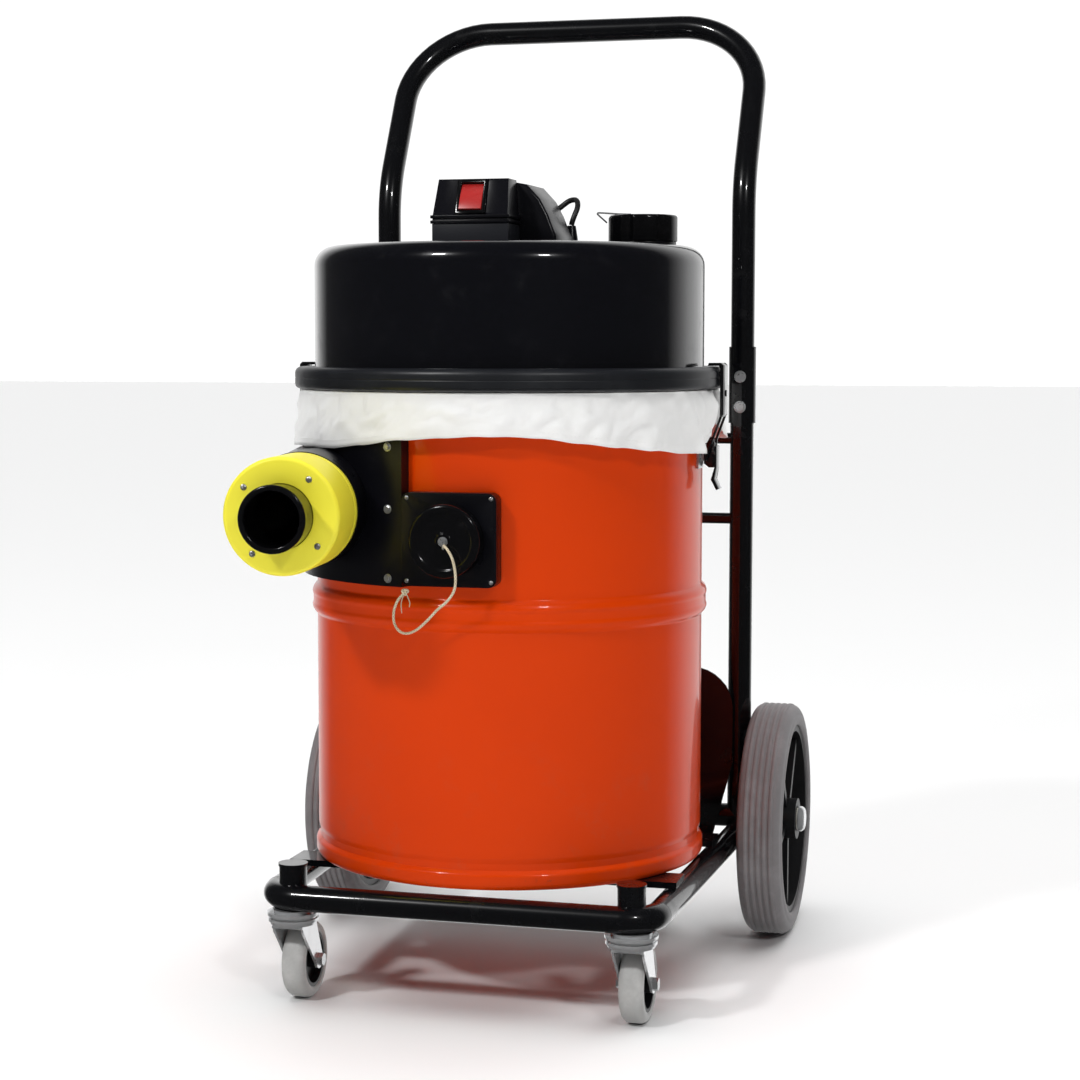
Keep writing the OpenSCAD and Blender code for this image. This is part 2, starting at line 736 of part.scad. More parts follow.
module buffer_ring() {
    r = 9;
    mid = ring_z + ring_h / 2;
    outline = concat([[head_r + 0.2, ring_z]], arc(ring_r - r, ring_z + r, r, -90, 0, 6),
        arc(ring_r - r, ring_top - r, r, 0, 90, 6), [[head_r + 0.2, ring_top],
        [head_r + 0.2, flange_z + 2.2], [flange_r + 0.2, flange_z + 2.2],
        [flange_r + 0.2, flange_z - 0.2], [head_r + 0.2, flange_z - 0.2]]);
    color([0.09, 0.09, 0.1]) rotate_extrude($fn = 180) polygon(outline);
}

module head_cover() {
    edge = 19;
    outside = concat([[0, flange_z], [flange_r, flange_z], [flange_r, flange_z + 2],
        [head_r, flange_z + 2]], arc(head_r - edge, head_top - edge, edge, 0, 90, 8), [[0, head_top]]);
    inside = concat([[0, flange_z - 1], [head_r - cover_t, flange_z - 1]],
        arc(head_r - edge, head_top - edge, edge - cover_t, 0, 90, 8), [[0, head_top - cover_t]]);
    color(black) difference() {
        rotate_extrude($fn = 180) polygon(outside);
        rotate_extrude($fn = 180) polygon(inside);
        translate([outlet_x, outlet_y, head_top - 10]) cylinder(h = 20, r = 26, $fn = 64);
        translate([box_x, box_y + box_d / 2, head_top - 10]) cylinder(h = 20, r = 8, $fn = 48);
        translate([lead_end[0], lead_end[1], head_top - 10]) cylinder(h = 20, r = 4, $fn = 48);
    }
}

// The plate that carries the motor and closes the head from below
module motor_plate() {
    color(steel) difference() {
        translate([0, 0, flange_z]) cylinder(h = 2.5, r = head_r - cover_t - 0.2, $fn = 180);
        translate([0, 0, flange_z - 1]) cylinder(h = 6, r = 40, $fn = 96);
    }
}

module motor() {
    color(light_grey) translate([0, 0, flange_z + 2.5]) difference() {
        union() {
            cylinder(h = 62, r = 72, $fn = 128);
            translate([0, 0, 62]) cylinder(h = 48, r = 44, $fn = 96);
            translate([0, 0, 110]) cylinder(h = 12, r = 14, $fn = 64);
            translate([-52, -9, 62]) cube([104, 18, 44]);
        }
        translate([0, 0, -1]) cylinder(h = 20, r = 22, $fn = 64);
    }
}

// The cloth bag that hangs inside the drum
module filter_bag() {
    color(cloth) rotate_extrude($fn = 120) polygon([[0, 442], [150, 442], [162, 452],
        [184, rim_z - 4], [184, rim_z], [181, rim_z], [181, rim_z - 4], [159.5, 454],
        [149, 445], [0, 445]]);
}

// The bag's free hem: across the drum's rim and down outside it, open at the latches
module filter_skirt() {
    color(cloth) difference() {
        rotate_extrude($fn = 180) polygon([[181, rim_z + 0.3], [skirt_r - skirt_t, rim_z + 0.3],
            [skirt_r - skirt_t, skirt_low], [skirt_r, skirt_low], [skirt_r, ring_z - 0.2],
            [181, ring_z - 0.2]]);
        both_sides() translate([204, -17, skirt_low - 1]) cube([12, 34, rim_z - skirt_low + 1]);
    }
}

// ---- on top of the head ----

module switch_box() {
    color(black) translate([box_x - box_w / 2, box_y, head_top]) difference() {
        cube([box_w, box_d, lid_z - 0.2]);
        translate([3, 3, 3]) cube([box_w - 6, box_d - 6, lid_z]);
        translate([box_w / 2, box_d / 2, -1]) cylinder(h = 6, r = 8, $fn = 48);
    }
}

module lid_block(t) {
    intersection() {
        translate([box_x - box_w, 0, 0]) rotate([90, 0, 90]) linear_extrude(2 * box_w)
            polygon([[box_y + t, 0], [box_y + t, 8 - t], [box_y + lid_slope + t, lid_h - t],
                [box_y + box_d - t, lid_h - t], [box_y + box_d - t, 0]]);
        translate([box_x, box_y + 100, 0]) rotate([90, 0, 0]) linear_extrude(200)
            polygon([[t - box_w / 2, 0], [t + 3 - box_w / 2, lid_h - t], [box_w / 2 - t - 3, lid_h - t],
                [box_w / 2 - t, 0]]);
    }
}

module at_rocker() {
    translate([box_x, rocker_y, rocker_z]) rotate([-lid_lean, 0, 0]) children();
}

module switch_lid() {
    color(black) difference() {
        translate([0, 0, head_top + lid_z]) {
            lid_block(0);
            for (z = [0, 5]) translate([box_x - box_w / 2 - 1.5, box_y - 1.5, z])
                cube([box_w + 3, box_d + 1.5, 3]);
        }
        translate([0, 0, head_top + lid_z - 0.01]) lid_block(3);
        at_rocker() translate([-13, -20, -16]) cube([26, 40, 32]);
    }
}

module switch_bezel() {
    color(black) at_rocker() difference() {
        union() {
            translate([-15, -2, -18]) cube([30, 2, 36]);
            translate([-12.8, -0.5, -15.8]) cube([25.6, 15, 31.6]);
        }
        translate([-11.3, -3, -14.3]) cube([22.6, 14.5, 28.6]);
    }
}

// The rocker is bent in the middle and turns about a line just behind its face
module rocker_switch() {
    color([0.85, 0.25, 0.23]) at_rocker() {
        translate([11, 0, 0]) rotate([0, -90, 0]) linear_extrude(22)
            polygon([[-13.4, 5], [-13.6, -3.6], [0, -2.2], [13.4, 1.2], [12.6, 6]]);
        x_cyl(-11.2, 22.4, 1.2, 32);
    }
}

module rear_cowl() {
    color(black) translate([0, 0, head_top]) rotate([90, 0, 0]) linear_extrude(69.5)
        polygon([[-28, 0], [-28, 58], [-24, 61], [20, 61], [36, 58], [49, 44], [57, 29],
            [62, 16], [65, 9], [65, 0]]);
}

module lead_gland() {
    color(black) translate([lead_end[0], lead_end[1], head_top]) difference() {
        rotate_extrude($fn = 48) polygon([[0, 0], [9, 0], [9, 3], [7, 4], [6.2, 10], [4.4, 21.5], [0, 21.5]]);
        translate([0, 0, -1]) cylinder(h = 18, r = 3, $fn = 32);
    }
}

module link_lead() {
    color(black) cord(lead_route, lead_r);
}

module outlet_socket() {
    color(black) translate([outlet_x, outlet_y, head_top]) difference() {
        union() {
            cylinder(h = 4, r = 33, $fn = 96);
            cylinder(h = 20, r = 29, $fn = 96);
        }
        translate([0, 0, -1]) cylinder(h = 30, r = 26, $fn = 64);
    }
}

module outlet_cap() {
    color(black) translate([outlet_x, outlet_y, head_top + 4.4]) difference() {
        rotate_extrude($fn = 96) polygon(concat([[0, 0], [34.5, 0]], arc(31.5, 23, 3, 0, 90, 4), [[0, 26]]));
        for (i = [0 : outlet_lobes - 1]) rotate([0, 0, 360 * i / outlet_lobes + 15]) translate([39.5, 0, -1])
            cylinder(h = 40, r = 8.5, $fn = 48);
        translate([0, 0, -1]) cylinder(h = 17, r = 29 + run, $fn = 96);
    }
}

// A bent wire keeper on the outlet cap
module cap_wire() {
    top = head_top + 31.4;
    color(black) cord([[124, 3, top], [110, 2, top + 0.6], [93, 0.2, top + 1.8], [90.6, 0, top + 1.2],
        [91.6, 0.4, top - 0.6], [99.6, 3, top - 8]], 0.9);
}

base_loop();
left_upright();
right_upright();
cross_rods();
axle_tube();
rear_plate();
support_bars();
handle_sleeves();
upper_handle();
sleeve_bolts();
castor_posts();
castor_stems();
left_fork();
right_fork();
left_castor_bolt();
right_castor_bolt();
left_castor_hub();
right_castor_hub();
left_castor_tyre();
right_castor_tyre();
axle();
axle_caps();
left_hub();
right_hub();
left_tyre();
right_tyre();
left_bush();
right_bush();
drum();
inlet_housing();
housing_screws();
inlet_collar();
collar_screws();
inlet_tube();
port_plate();
rivets();
port_cap();
cap_screw();
cap_tether();
latch_bases();
left_latch_lever();
right_latch_lever();
left_latch_hook();
right_latch_hook();
buffer_ring();
head_cover();
motor_plate();
motor();
filter_bag();
filter_skirt();
switch_box();
switch_lid();
switch_bezel();
rocker_switch();
rear_cowl();
lead_gland();
link_lead();
outlet_socket();
outlet_cap();
cap_wire();
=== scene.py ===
# A drum vacuum on its trolley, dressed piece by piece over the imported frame.
# Lengths are written in millimetres where a workshop would, and turned into metres by mm.
import math

import bmesh
import bpy
from mathutils import Matrix, Vector, noise


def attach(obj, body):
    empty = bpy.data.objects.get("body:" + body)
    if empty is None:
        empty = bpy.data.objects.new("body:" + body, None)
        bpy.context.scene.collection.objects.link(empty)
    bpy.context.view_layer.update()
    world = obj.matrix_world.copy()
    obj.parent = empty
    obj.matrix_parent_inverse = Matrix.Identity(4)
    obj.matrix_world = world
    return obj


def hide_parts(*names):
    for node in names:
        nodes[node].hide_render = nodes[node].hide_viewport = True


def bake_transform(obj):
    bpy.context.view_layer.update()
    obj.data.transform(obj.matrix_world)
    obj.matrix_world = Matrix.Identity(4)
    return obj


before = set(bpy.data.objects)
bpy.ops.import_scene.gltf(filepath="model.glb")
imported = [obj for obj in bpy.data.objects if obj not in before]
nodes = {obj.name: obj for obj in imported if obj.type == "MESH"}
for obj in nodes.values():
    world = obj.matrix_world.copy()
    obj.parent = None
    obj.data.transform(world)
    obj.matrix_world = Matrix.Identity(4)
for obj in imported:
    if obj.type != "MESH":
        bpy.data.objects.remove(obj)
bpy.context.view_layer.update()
scene = bpy.context.scene
mm = 0.001


# ---- viewpoint ---------------------------------------------------------------
# A viewer a little over two metres off and level with the middle of the machine, in front
# and to the right, with the machine filling the height of the frame.
camera = bpy.data.objects.new("camera", bpy.data.cameras.new("camera"))
scene.collection.objects.link(camera)
camera.location = (0.6147, -2.2486, 0.6462)
camera.rotation_euler = (math.radians(85.01), 0, math.radians(15.29))
camera.data.lens = 76.7
camera.data.sensor_width = 36
camera.data.shift_x = 0.0281
scene.camera = camera


# ---- finishes and makers -----------------------------------------------------
# What every piece is made and dressed with.
class Value:
    """A number on its way through a finish, reckoned with like any other."""

    def __init__(self, finish, socket):
        self.finish = finish
        self.socket = socket

    def maths(self, operation, one, other):
        return self.finish.add("ShaderNodeMath", {"operation": operation}, {0: one, 1: other})

    def __add__(self, other):
        return self.maths("ADD", self, other)

    def __radd__(self, other):
        return self.maths("ADD", other, self)

    def __sub__(self, other):
        return self.maths("SUBTRACT", self, other)

    def __rsub__(self, other):
        return self.maths("SUBTRACT", other, self)

    def __mul__(self, other):
        return self.maths("MULTIPLY", self, other)

class Finish:
    """A surface finish that every piece of the same stuff wears."""

    def __init__(self, name):
        self.material = bpy.data.materials.new(name)
        self.material.use_nodes = True
        self.tree = self.material.node_tree
        self.shader = self.tree.nodes["Principled BSDF"]

    def join(self, node, sockets):
        for name, value in sockets.items():
            if isinstance(value, Value):
                self.tree.links.new(value.socket, node.inputs[name])
            else:
                node.inputs[name].default_value = value

    def add(self, kind, settings, sockets, out=0):
        node = self.tree.nodes.new(kind)
        for name, value in settings.items():
            setattr(node, name, value)
        self.join(node, sockets)
        return Value(self, node.outputs[out])

    def put(self, **sockets):
        self.join(self.shader, {
            name.replace("_", " "): value for name, value in sockets.items()})
        return self.material

    def place(self):
        return self.add("ShaderNodeTexCoord", {}, {}, "Object")

    def along(self, axis):
        return self.add("ShaderNodeSeparateXYZ", {}, {0: self.place()}, axis)

    def noise(self, scale, detail=3, roughness=0.5):
        return self.add("ShaderNodeTexNoise", {}, {
            "Vector": self.place(), "Scale": scale, "Detail": detail, "Roughness": roughness})

    def step(self, value, low, high):
        return self.add("ShaderNodeMapRange", {"interpolation_type": "SMOOTHSTEP"}, {
            "Value": value, "From Min": low, "From Max": high})

    def blend(self, mask, one, other):
        return self.add("ShaderNodeMix", {"data_type": "RGBA"}, {0: mask, 6: one, 7: other}, 2)

    def bump(self, height, strength, depth):
        return self.add("ShaderNodeBump", {}, {
            "Height": height, "Strength": strength, "Distance": depth})


def smoothed(points, parts=6):
    """A smooth route through points given in millimetres."""
    points = [Vector(p) * mm for p in points]
    ends = [points[0] * 2 - points[1], *points, points[-1] * 2 - points[-2]]
    route = []
    for a, b, c, d in zip(ends, ends[1:], ends[2:], ends[3:]):
        for k in range(parts):
            t = k / parts
            route.append((b * 2 + (c - a) * t + (a * 2 - b * 5 + c * 4 - d) * t * t
                          + (b * 3 - a - c * 3 + d) * t ** 3) / 2)
    return [*route, points[-1]]


def tube(name, route, radius, sides=12):
    """A round tube along a route, with its own map: round it once, and along it in metres."""
    made = bmesh.new()
    layer = made.loops.layers.uv.new("UVMap")
    across = Vector((0.37, 0.51, 0.78))  # a direction that no route starts along
    rings = []
    length = [0.0]
    for i, point in enumerate(route):
        ahead = (route[min(i + 1, len(route) - 1)] - route[max(i - 1, 0)]).normalized()
        across = (across - ahead * across.dot(ahead)).normalized()
        up = ahead.cross(across)
        rings.append([made.verts.new(point + (across * math.cos(math.tau * k / sides)
                                              + up * math.sin(math.tau * k / sides)) * radius)
                      for k in range(sides)])
        if i:
            length.append(length[-1] + (point - route[i - 1]).length)
    for i, (one, two) in enumerate(zip(rings, rings[1:])):
        for k in range(sides):
            face = made.faces.new((one[k], one[(k + 1) % sides], two[(k + 1) % sides], two[k]))
            corners = ((k, i), (k + 1, i), (k + 1, i + 1), (k, i + 1))
            for loop, (u, v) in zip(face.loops, corners):
                loop[layer].uv = (u / sides, length[v])
    made.faces.new(rings[0][::-1])
    made.faces.new(rings[-1])
    return finished(name, made)


def finished(name, made, sharp=35):
    """The made mesh as an object at the origin, smooth but for its sharp edges."""
    mesh = bpy.data.meshes.new(name)
    made.to_mesh(mesh)
    made.free()
    mesh.shade_smooth()
    mesh.set_sharp_from_angle(angle=math.radians(sharp))
    piece = bpy.data.objects.new(name, mesh)
    scene.collection.objects.link(piece)
    return piece


def fit(piece, material, body, slot, *stands_for):
    """Gives a piece its finish, its body and the frame solids it stands for."""
    piece.data.materials.clear()
    piece.data.materials.append(material)
    if body:
        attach(piece, body)
    if stands_for:
        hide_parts(*stands_for)
    return piece


def paint(material, *names):
    """Gives frame solids that are shown as they are their finish."""
    for name in names:
        nodes[name].data.materials.clear()
        nodes[name].data.materials.append(material)


# ---- the cap's tether --------------------------------------------------------
# A limp braided cotton cord, 2.5 mm thick, from the ring terminal on the blanking cap to
# the lower left corner of the port plate, where it ends in an overhand knot.
def braided_cotton():
    f = Finish("braided cotton")
    chart = f.add("ShaderNodeTexCoord", {}, {}, "UV")
    around = f.add("ShaderNodeSeparateXYZ", {}, {0: chart}, "X") * math.tau
    length = f.add("ShaderNodeSeparateXYZ", {}, {0: chart}, "Y") * 1900
    strand = f.add("ShaderNodeMath", {"operation": "SINE"}, {0: around * 3 + length})
    cross = f.add("ShaderNodeMath", {"operation": "SINE"}, {0: around * 3 - length})
    weave = strand.maths("MAXIMUM", strand, cross)
    soil = f.step(f.noise(160, 5, 0.6), 0.42, 0.75)
    colour = f.blend(soil * 0.5, (0.75, 0.66, 0.48, 1), (0.42, 0.33, 0.2, 1))
    colour = f.blend(f.step(weave, -0.6, 0.5), (0.4, 0.32, 0.2, 1), colour)
    return f.put(Base_Color=colour, Roughness=0.9, Normal=f.bump(weave, 0.7, 0.0004))


cotton = braided_cotton()
tether_points = [
    (0, -231, 457), (5, -234, 453), (10, -235, 444), (12, -233, 430), (10, -230, 416),
    (2, -226, 405), (-9, -222, 396), (-20, -219, 385), (-31, -216, 376), (-41, -214, 372),
    (-49, -213, 374), (-54, -213, 382), (-54, -213, 393), (-50, -213, 403), (-43, -213, 411)]
tether_route = smoothed(tether_points)
tether = fit(tube("tether", tether_route, 1.25 * mm, 10), cotton, None,
             "tether_cord", "cap_tether")
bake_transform(tether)

knot_centre = Vector(tether_points[-1]) * mm
knot_steps = 60
knot_route = []
for i in range(knot_steps + 1):
    a = math.tau * i / knot_steps
    knot_route.append(knot_centre + Vector((
        (math.sin(a) + 2 * math.sin(2 * a)) * 0.95, math.sin(3 * a) * 1.2,
        (math.cos(a) - 2 * math.cos(2 * a)) * 0.95)) * mm)
knot = fit(tube("tether_knot", knot_route, 1.1 * mm, 8), cotton, "chassis", "tether_cord")
for number, points in enumerate((
        [(-43, -213, 411), (-45, -214, 406), (-46.5, -214.5, 400), (-46, -214.5, 391)],
        [(-43, -213, 411), (-40, -214, 406), (-38, -214.5, 401), (-38.5, -214.5, 397)])):
    fit(tube(f"tether_tail_{number + 1}", smoothed(points), 0.5 * mm, 8),
                     cotton, "chassis", "tether_cord")
tether_length = sum((b - a).length for a, b in zip(tether_route, tether_route[1:]))


# ---- trolley frame -----------------------------------------------------------
# One-inch steel tube, bent and welded, then sprayed in gloss black enamel. The base
# loop, the uprights, their rods and the sheet behind the drum are one welding.
def enamel(name, colour, dust_colour, roughness):
    f = Finish(name)
    cloud = f.noise(7, 3)
    dust = f.step(f.noise(38, 8, 0.7), 0.52, 0.85)
    peel = f.noise(520, 1)
    f.put(Coat_Roughness=0.05, Coat_IOR=1.5, Specular_IOR_Level=0.2)
    return f.put(Base_Color=f.blend(dust * 0.3, colour, dust_colour),
                 Roughness=roughness + cloud * 0.08 + dust * 0.12,
                 Coat_Weight=0.75 - dust * 0.3, Normal=f.bump(peel, 0.04, 0.0003))


frame_enamel = enamel("frame enamel", (0.0028, 0.003, 0.004, 1), (0.03, 0.03, 0.03, 1), 0.22)
paint(frame_enamel, "base_loop", "left_upright", "right_upright", "cross_rods", "axle_tube",
      "rear_plate", "support_bars", "castor_posts", "handle_sleeves")


# ---- push handle -------------------------------------------------------------
# One length of the same tube, bent at both top corners and leaned back above the head.
# Its feet drop into two sleeves and are held by a bolt each.
def eased(corners, closed=False, steps=8):
    """Corners, each with how far its rounding reaches, as the points of the finished line."""
    line = []
    last = len(corners) - 1
    for i, (*place, reach) in enumerate(corners):
        here = Vector(place)
        if reach == 0 or not closed and i in (0, last):
            line.append(here)
            continue
        back = (Vector(corners[i - 1][:-1]) - here).normalized()
        ahead = (Vector(corners[(i + 1) % len(corners)][:-1]) - here).normalized()
        half = back.angle(ahead) / 2
        centre = here + (back + ahead).normalized() * reach / math.cos(half)
        start = here + back * reach - centre
        end = here + ahead * reach - centre
        turn = math.pi - 2 * half
        for k in range(steps + 1):
            t = k / steps
            line.append(centre + (start * math.sin((1 - t) * turn)
                                  + end * math.sin(t * turn)) / math.sin(turn))
    return line


rear_y = 222  # the uprights and the axle stand in one plane
upright_x = 200
handle_top = 994
lean = math.radians(30)
lean_radius = 120
lean_reach = lean_radius * math.tan(lean / 2)
top_y = rear_y + lean_radius * (1 - math.cos(lean)) + (handle_top - 840) * math.tan(lean)
handle_corners = [
    (upright_x, rear_y, 590.5, 0), (upright_x, rear_y, 780 + lean_reach, lean_reach),
    (upright_x, top_y, handle_top, 90)]
handle_corners += [(-x, y, z, reach) for x, y, z, reach in reversed(handle_corners)]
handle_route = [p * mm for p in eased(handle_corners, steps=14)]
fit(tube("push_handle", handle_route, 12.7 * mm, 40), frame_enamel, "chassis", "frame_paint",
    "upper_handle")


# ---- drum --------------------------------------------------------------------
# Rolled sheet steel with a seamed chime at the foot, a swaged bead round the middle and a
# rolled rim, sprayed orange-red. The inlet and the port are cut through its side.
def turned(name, corners, turns=192, place=Matrix(), closed=False, sharp=35):
    """A piece spun about Z from the corners of its outline: (radius, height, rounding) in mm."""
    made = bmesh.new()
    rings = []
    for radius, height in eased(corners, closed):
        if radius < 1e-6:
            rings.append([made.verts.new((0, 0, height * mm))] * turns)
            continue
        rings.append([made.verts.new((
            radius * math.cos(math.tau * k / turns) * mm,
            radius * math.sin(math.tau * k / turns) * mm, height * mm)) for k in range(turns)])
    for one, two in zip(rings, rings[1:] + rings[:1] if closed else rings[1:]):
        for k in range(turns):
            corner = [one[k], one[(k + 1) % turns], two[(k + 1) % turns], two[k]]
            corner = [v for i, v in enumerate(corner) if v not in corner[:i]]
            if len(corner) > 2:
                made.faces.new(corner)
    bmesh.ops.recalc_face_normals(made, faces=made.faces)
    made.transform(place)
    return finished(name, made, sharp)


def settle(piece):
    """Applies a piece's modifiers."""
    graph = bpy.context.evaluated_depsgraph_get()
    whole = bpy.data.meshes.new_from_object(piece.evaluated_get(graph))
    piece.modifiers.clear()
    piece.data = whole
    return piece


def bored(piece, radius, length, place):
    """Bores a round hole through a piece."""
    outline = [(0, 0, 0), (radius, 0, 0), (radius, length, 0), (0, length, 0)]
    cutter = turned("cutter", outline, 64, place)
    cut = piece.modifiers.new("bore", "BOOLEAN")
    cut.object = cutter
    cut.operation = "DIFFERENCE"
    settle(piece)
    bpy.data.objects.remove(cutter)
    return piece


def drum_enamel_finish():
    f = Finish("drum enamel")
    height = f.along("Z")
    cloud = f.noise(6, 3)
    dust = f.step(f.noise(30, 8, 0.7), 0.5, 0.85) * f.step(height, 0.32, 0.13)
    scuff = f.step(f.noise(14, 10, 0.75), 0.6, 0.78)
    rub = f.step(f.noise(60, 6, 0.7), 0.62, 0.72) * f.step(height, 0.147, 0.13)
    colour = f.blend(cloud, (0.66, 0.043, 0.0, 1), (0.72, 0.051, 0.0, 1))
    colour = f.blend(dust * 0.35, colour, (0.3, 0.12, 0.07, 1))
    colour = f.blend(rub * 0.6, colour, (0.16, 0.05, 0.03, 1))
    f.put(Coat_Roughness=0.06, Coat_IOR=1.45, Specular_IOR_Level=0.1)
    return f.put(Base_Color=colour, Roughness=0.3 + cloud * 0.06 + scuff * 0.06 + dust * 0.2,
                 Coat_Weight=0.45 - scuff * 0.12 - dust * 0.3,
                 Normal=f.bump(f.noise(480, 1), 0.04, 0.0003))


drum_enamel = drum_enamel_finish()
drum = turned("drum_shell", [
    (0, 131, 0), (187, 131, 1.5), (188.5, 127, 1), (195, 127, 1.5), (197.4, 131, 2), (197.4, 142, 2),
    (193, 146, 1.5), (193, 150.5, 1.5), (195, 157, 2), (195, 371.5, 1.2), (198.8, 375.5, 2),
    (200.2, 380, 1.6), (199.2, 383.4, 1), (199.2, 390.6, 1), (200.2, 394, 1.6), (198.8, 398.5, 2),
    (195, 402.5, 1.2), (195, 588, 0.8), (198, 589.2, 0.6), (198, 594, 1), (193.5, 594, 0.5),
    (193.5, 135, 2), (0, 135, 0)], 256)
inlet_place = (Matrix.Translation((-0.1297, -0.309, 0.4867))
               @ Matrix.Rotation(math.radians(7), 4, "Z")
               @ Matrix.Rotation(math.radians(-90), 4, "X"))
port_place = (Matrix.Translation((-0.002, -0.208, 0.46))
              @ Matrix.Rotation(math.radians(90), 4, "X"))
bored(drum, 26.5, 140, inlet_place @ Matrix.Translation((0, 0, 0.1)))
bored(drum, 26, 60, port_place @ Matrix.Translation((0, 0, -0.04)))
drum.data.set_sharp_from_angle(angle=math.radians(35))
fit(drum, drum_enamel, "chassis", "drum_paint", "drum")


# ---- power head --------------------------------------------------------------
# A deep-drawn steel cover with a generous top edge, in the same gloss black as the trolley,
# standing in a moulded rubber buffer ring.
head_enamel = enamel("head enamel", (0.0026, 0.0028, 0.0045, 1), (0.03, 0.03, 0.034, 1), 0.16)
head = turned("head_cover_shell", [
    (0, 738, 0), (196, 738, 19), (196, 603.4, 0.8), (205, 603, 0.5), (205, 601.2, 0.5),
    (0, 601.2, 0)], 256)
fit(head, head_enamel, "chassis", "head_paint", "head_cover")


def moulded_rubber(name, colour, roughness):
    f = Finish(name)
    bloom = f.step(f.noise(24, 7, 0.65), 0.45, 0.8)
    grain = f.noise(1500, 2)
    light = tuple(min(1, c * 2 + 0.01) for c in colour[:3]) + (1,)
    return f.put(Base_Color=f.blend(bloom * 0.35, colour, light),
                 Roughness=roughness + bloom * 0.15, Normal=f.bump(grain, 0.12, 0.0002))


buffer_rubber = moulded_rubber("buffer rubber", (0.01, 0.011, 0.014, 1), 0.38)
buffer = turned("buffer_ring_moulding", [
    (196.6, 597.2, 1), (216, 597.2, 5), (216, 607.4, 0.3), (215.6, 608, 0.3), (216, 608.6, 0.3),
    (216, 619, 6.5), (199, 619, 1.5), (196.6, 617, 1)], 256, closed=True)
fit(buffer, buffer_rubber, "chassis", "buffer_rubber", "buffer_ring")


# ---- inlet -------------------------------------------------------------------
# A black saddle with a round boss, screwed to the drum on the tangent; a yellow moulded
# collar on the boss, held by four slotted screws; and the black tube that takes the hose.
def moulded_plastic(name, colour, roughness, grain_depth=0.15):
    f = Finish(name)
    wipe = f.noise(11, 4, 0.6)
    dust = f.step(f.noise(55, 8, 0.7), 0.55, 0.85)
    grain = f.noise(900, 2)
    light = tuple(c + 0.02 for c in colour[:3]) + (1,)
    f.put(Specular_IOR_Level=0.35)
    return f.put(Base_Color=f.blend(dust * 0.35, colour, light),
                 Roughness=roughness + wipe * 0.1 + dust * 0.1,
                 Normal=f.bump(grain, grain_depth, 0.00025))


satin_black = moulded_plastic("satin black moulding", (0.0035, 0.0035, 0.0055, 1), 0.24)
glossy_black = moulded_plastic("polished black moulding", (0.003, 0.003, 0.0036, 1), 0.1, 0.02)
collar_yellow = moulded_plastic("yellow moulding", (0.93, 0.84, 0.05, 1), 0.34, 0.06)


def softened(node, width, body, material, slot, angle=35, segments=3):
    """A copy of a frame solid with its loose faces merged and its sharp edges rounded off."""
    made = bmesh.new()
    made.from_mesh(nodes[node].data)
    bmesh.ops.remove_doubles(made, verts=made.verts, dist=1e-6)
    bmesh.ops.dissolve_limit(made, angle_limit=math.radians(1),
                             verts=made.verts, edges=made.edges)
    piece = finished(node + "_moulding", made)
    edge = piece.modifiers.new("edge", "BEVEL")
    edge.width = width * mm
    edge.segments = segments
    edge.limit_method = "ANGLE"
    edge.angle_limit = math.radians(angle)
    edge.use_clamp_overlap = True
    settle(piece)
    piece.data.set_sharp_from_angle(angle=math.radians(40))
    return fit(piece, material, body, slot, node)


paint(satin_black, "inlet_housing")

# The saddle's shoulder, which closes the tangential side of the boss against the drum.
boss_radius = 54
boss_sides = 48
made = bmesh.new()
for i in range(boss_sides):
    a = math.tau * i / boss_sides
    for depth in (84, 104):
        made.verts.new(inlet_place @ Vector((
            boss_radius * math.cos(a) * mm, boss_radius * math.sin(a) * mm, depth * mm)))
for height in (434, 540):
    for turn in (-62, -68, -74):
        a = math.radians(turn)
        for radius in (196.5, 208):
            made.verts.new(Vector((radius * math.sin(a), -radius * math.cos(a), height)) * mm)
bmesh.ops.convex_hull(made, input=made.verts)
bmesh.ops.delete(made, geom=[v for v in made.verts if not v.link_faces], context="VERTS")
shoulder = finished("housing_shoulder", made, 30)
bored(shoulder, 34, 150, inlet_place @ Matrix.Translation((0, 0, 0.07)))
bored(shoulder, 195.2, 400, Matrix.Translation((0, 0, 0.3)))
shoulder.data.set_sharp_from_angle(angle=math.radians(30))
fit(shoulder, satin_black, "chassis", "housing_plastic")

collar = turned("inlet_collar_moulding", [
    (30.1, 0, 0.6), (54.3, 0, 4.2), (54.3, 66, 0.6), (53.6, 66.8, 0.4), (53.6, 68.4, 0.4),
    (54.3, 69.2, 0.6), (54.3, 77.8, 1), (30.1, 77.8, 0)], 160, inlet_place, closed=True)
fit(collar, collar_yellow, "chassis", "collar_yellow", "inlet_collar")

mouth = turned("inlet_tube_moulding", [
    (25.5, -34.7, 1.4), (31, -34.7, 2.2), (31, -27.5, 1.6), (30, -26, 0.6), (30, 119.5, 0),
    (25.5, 119.5, 0)],
    128, inlet_place, closed=True)
fit(mouth, glossy_black, "chassis", "housing_plastic", "inlet_tube")


# ---- screws, bolts and rivets ------------------------------------------------
# Zinc-plated fasteners, each kind one turned or headed part set at every hole: hexagon
# screws on the saddle, slotted screws on the collar, a hexagon at each end of the sleeve
# bolts, and domed rivets. Those on the collar and the port plate have dulled.
def zinc_finish(name, colour):
    f = Finish(name)
    spangle = f.add("ShaderNodeTexVoronoi", {}, {"Vector": f.place(), "Scale": 260})
    stain = f.step(f.noise(90, 6, 0.7), 0.5, 0.8)
    return f.put(Base_Color=f.blend(stain * 0.5, colour, (0.3, 0.29, 0.27, 1)), Metallic=0.85,
                 Roughness=0.24 + spangle * 0.12 + stain * 0.2,
                 Normal=f.bump(f.noise(900, 2), 0.08, 0.0002))


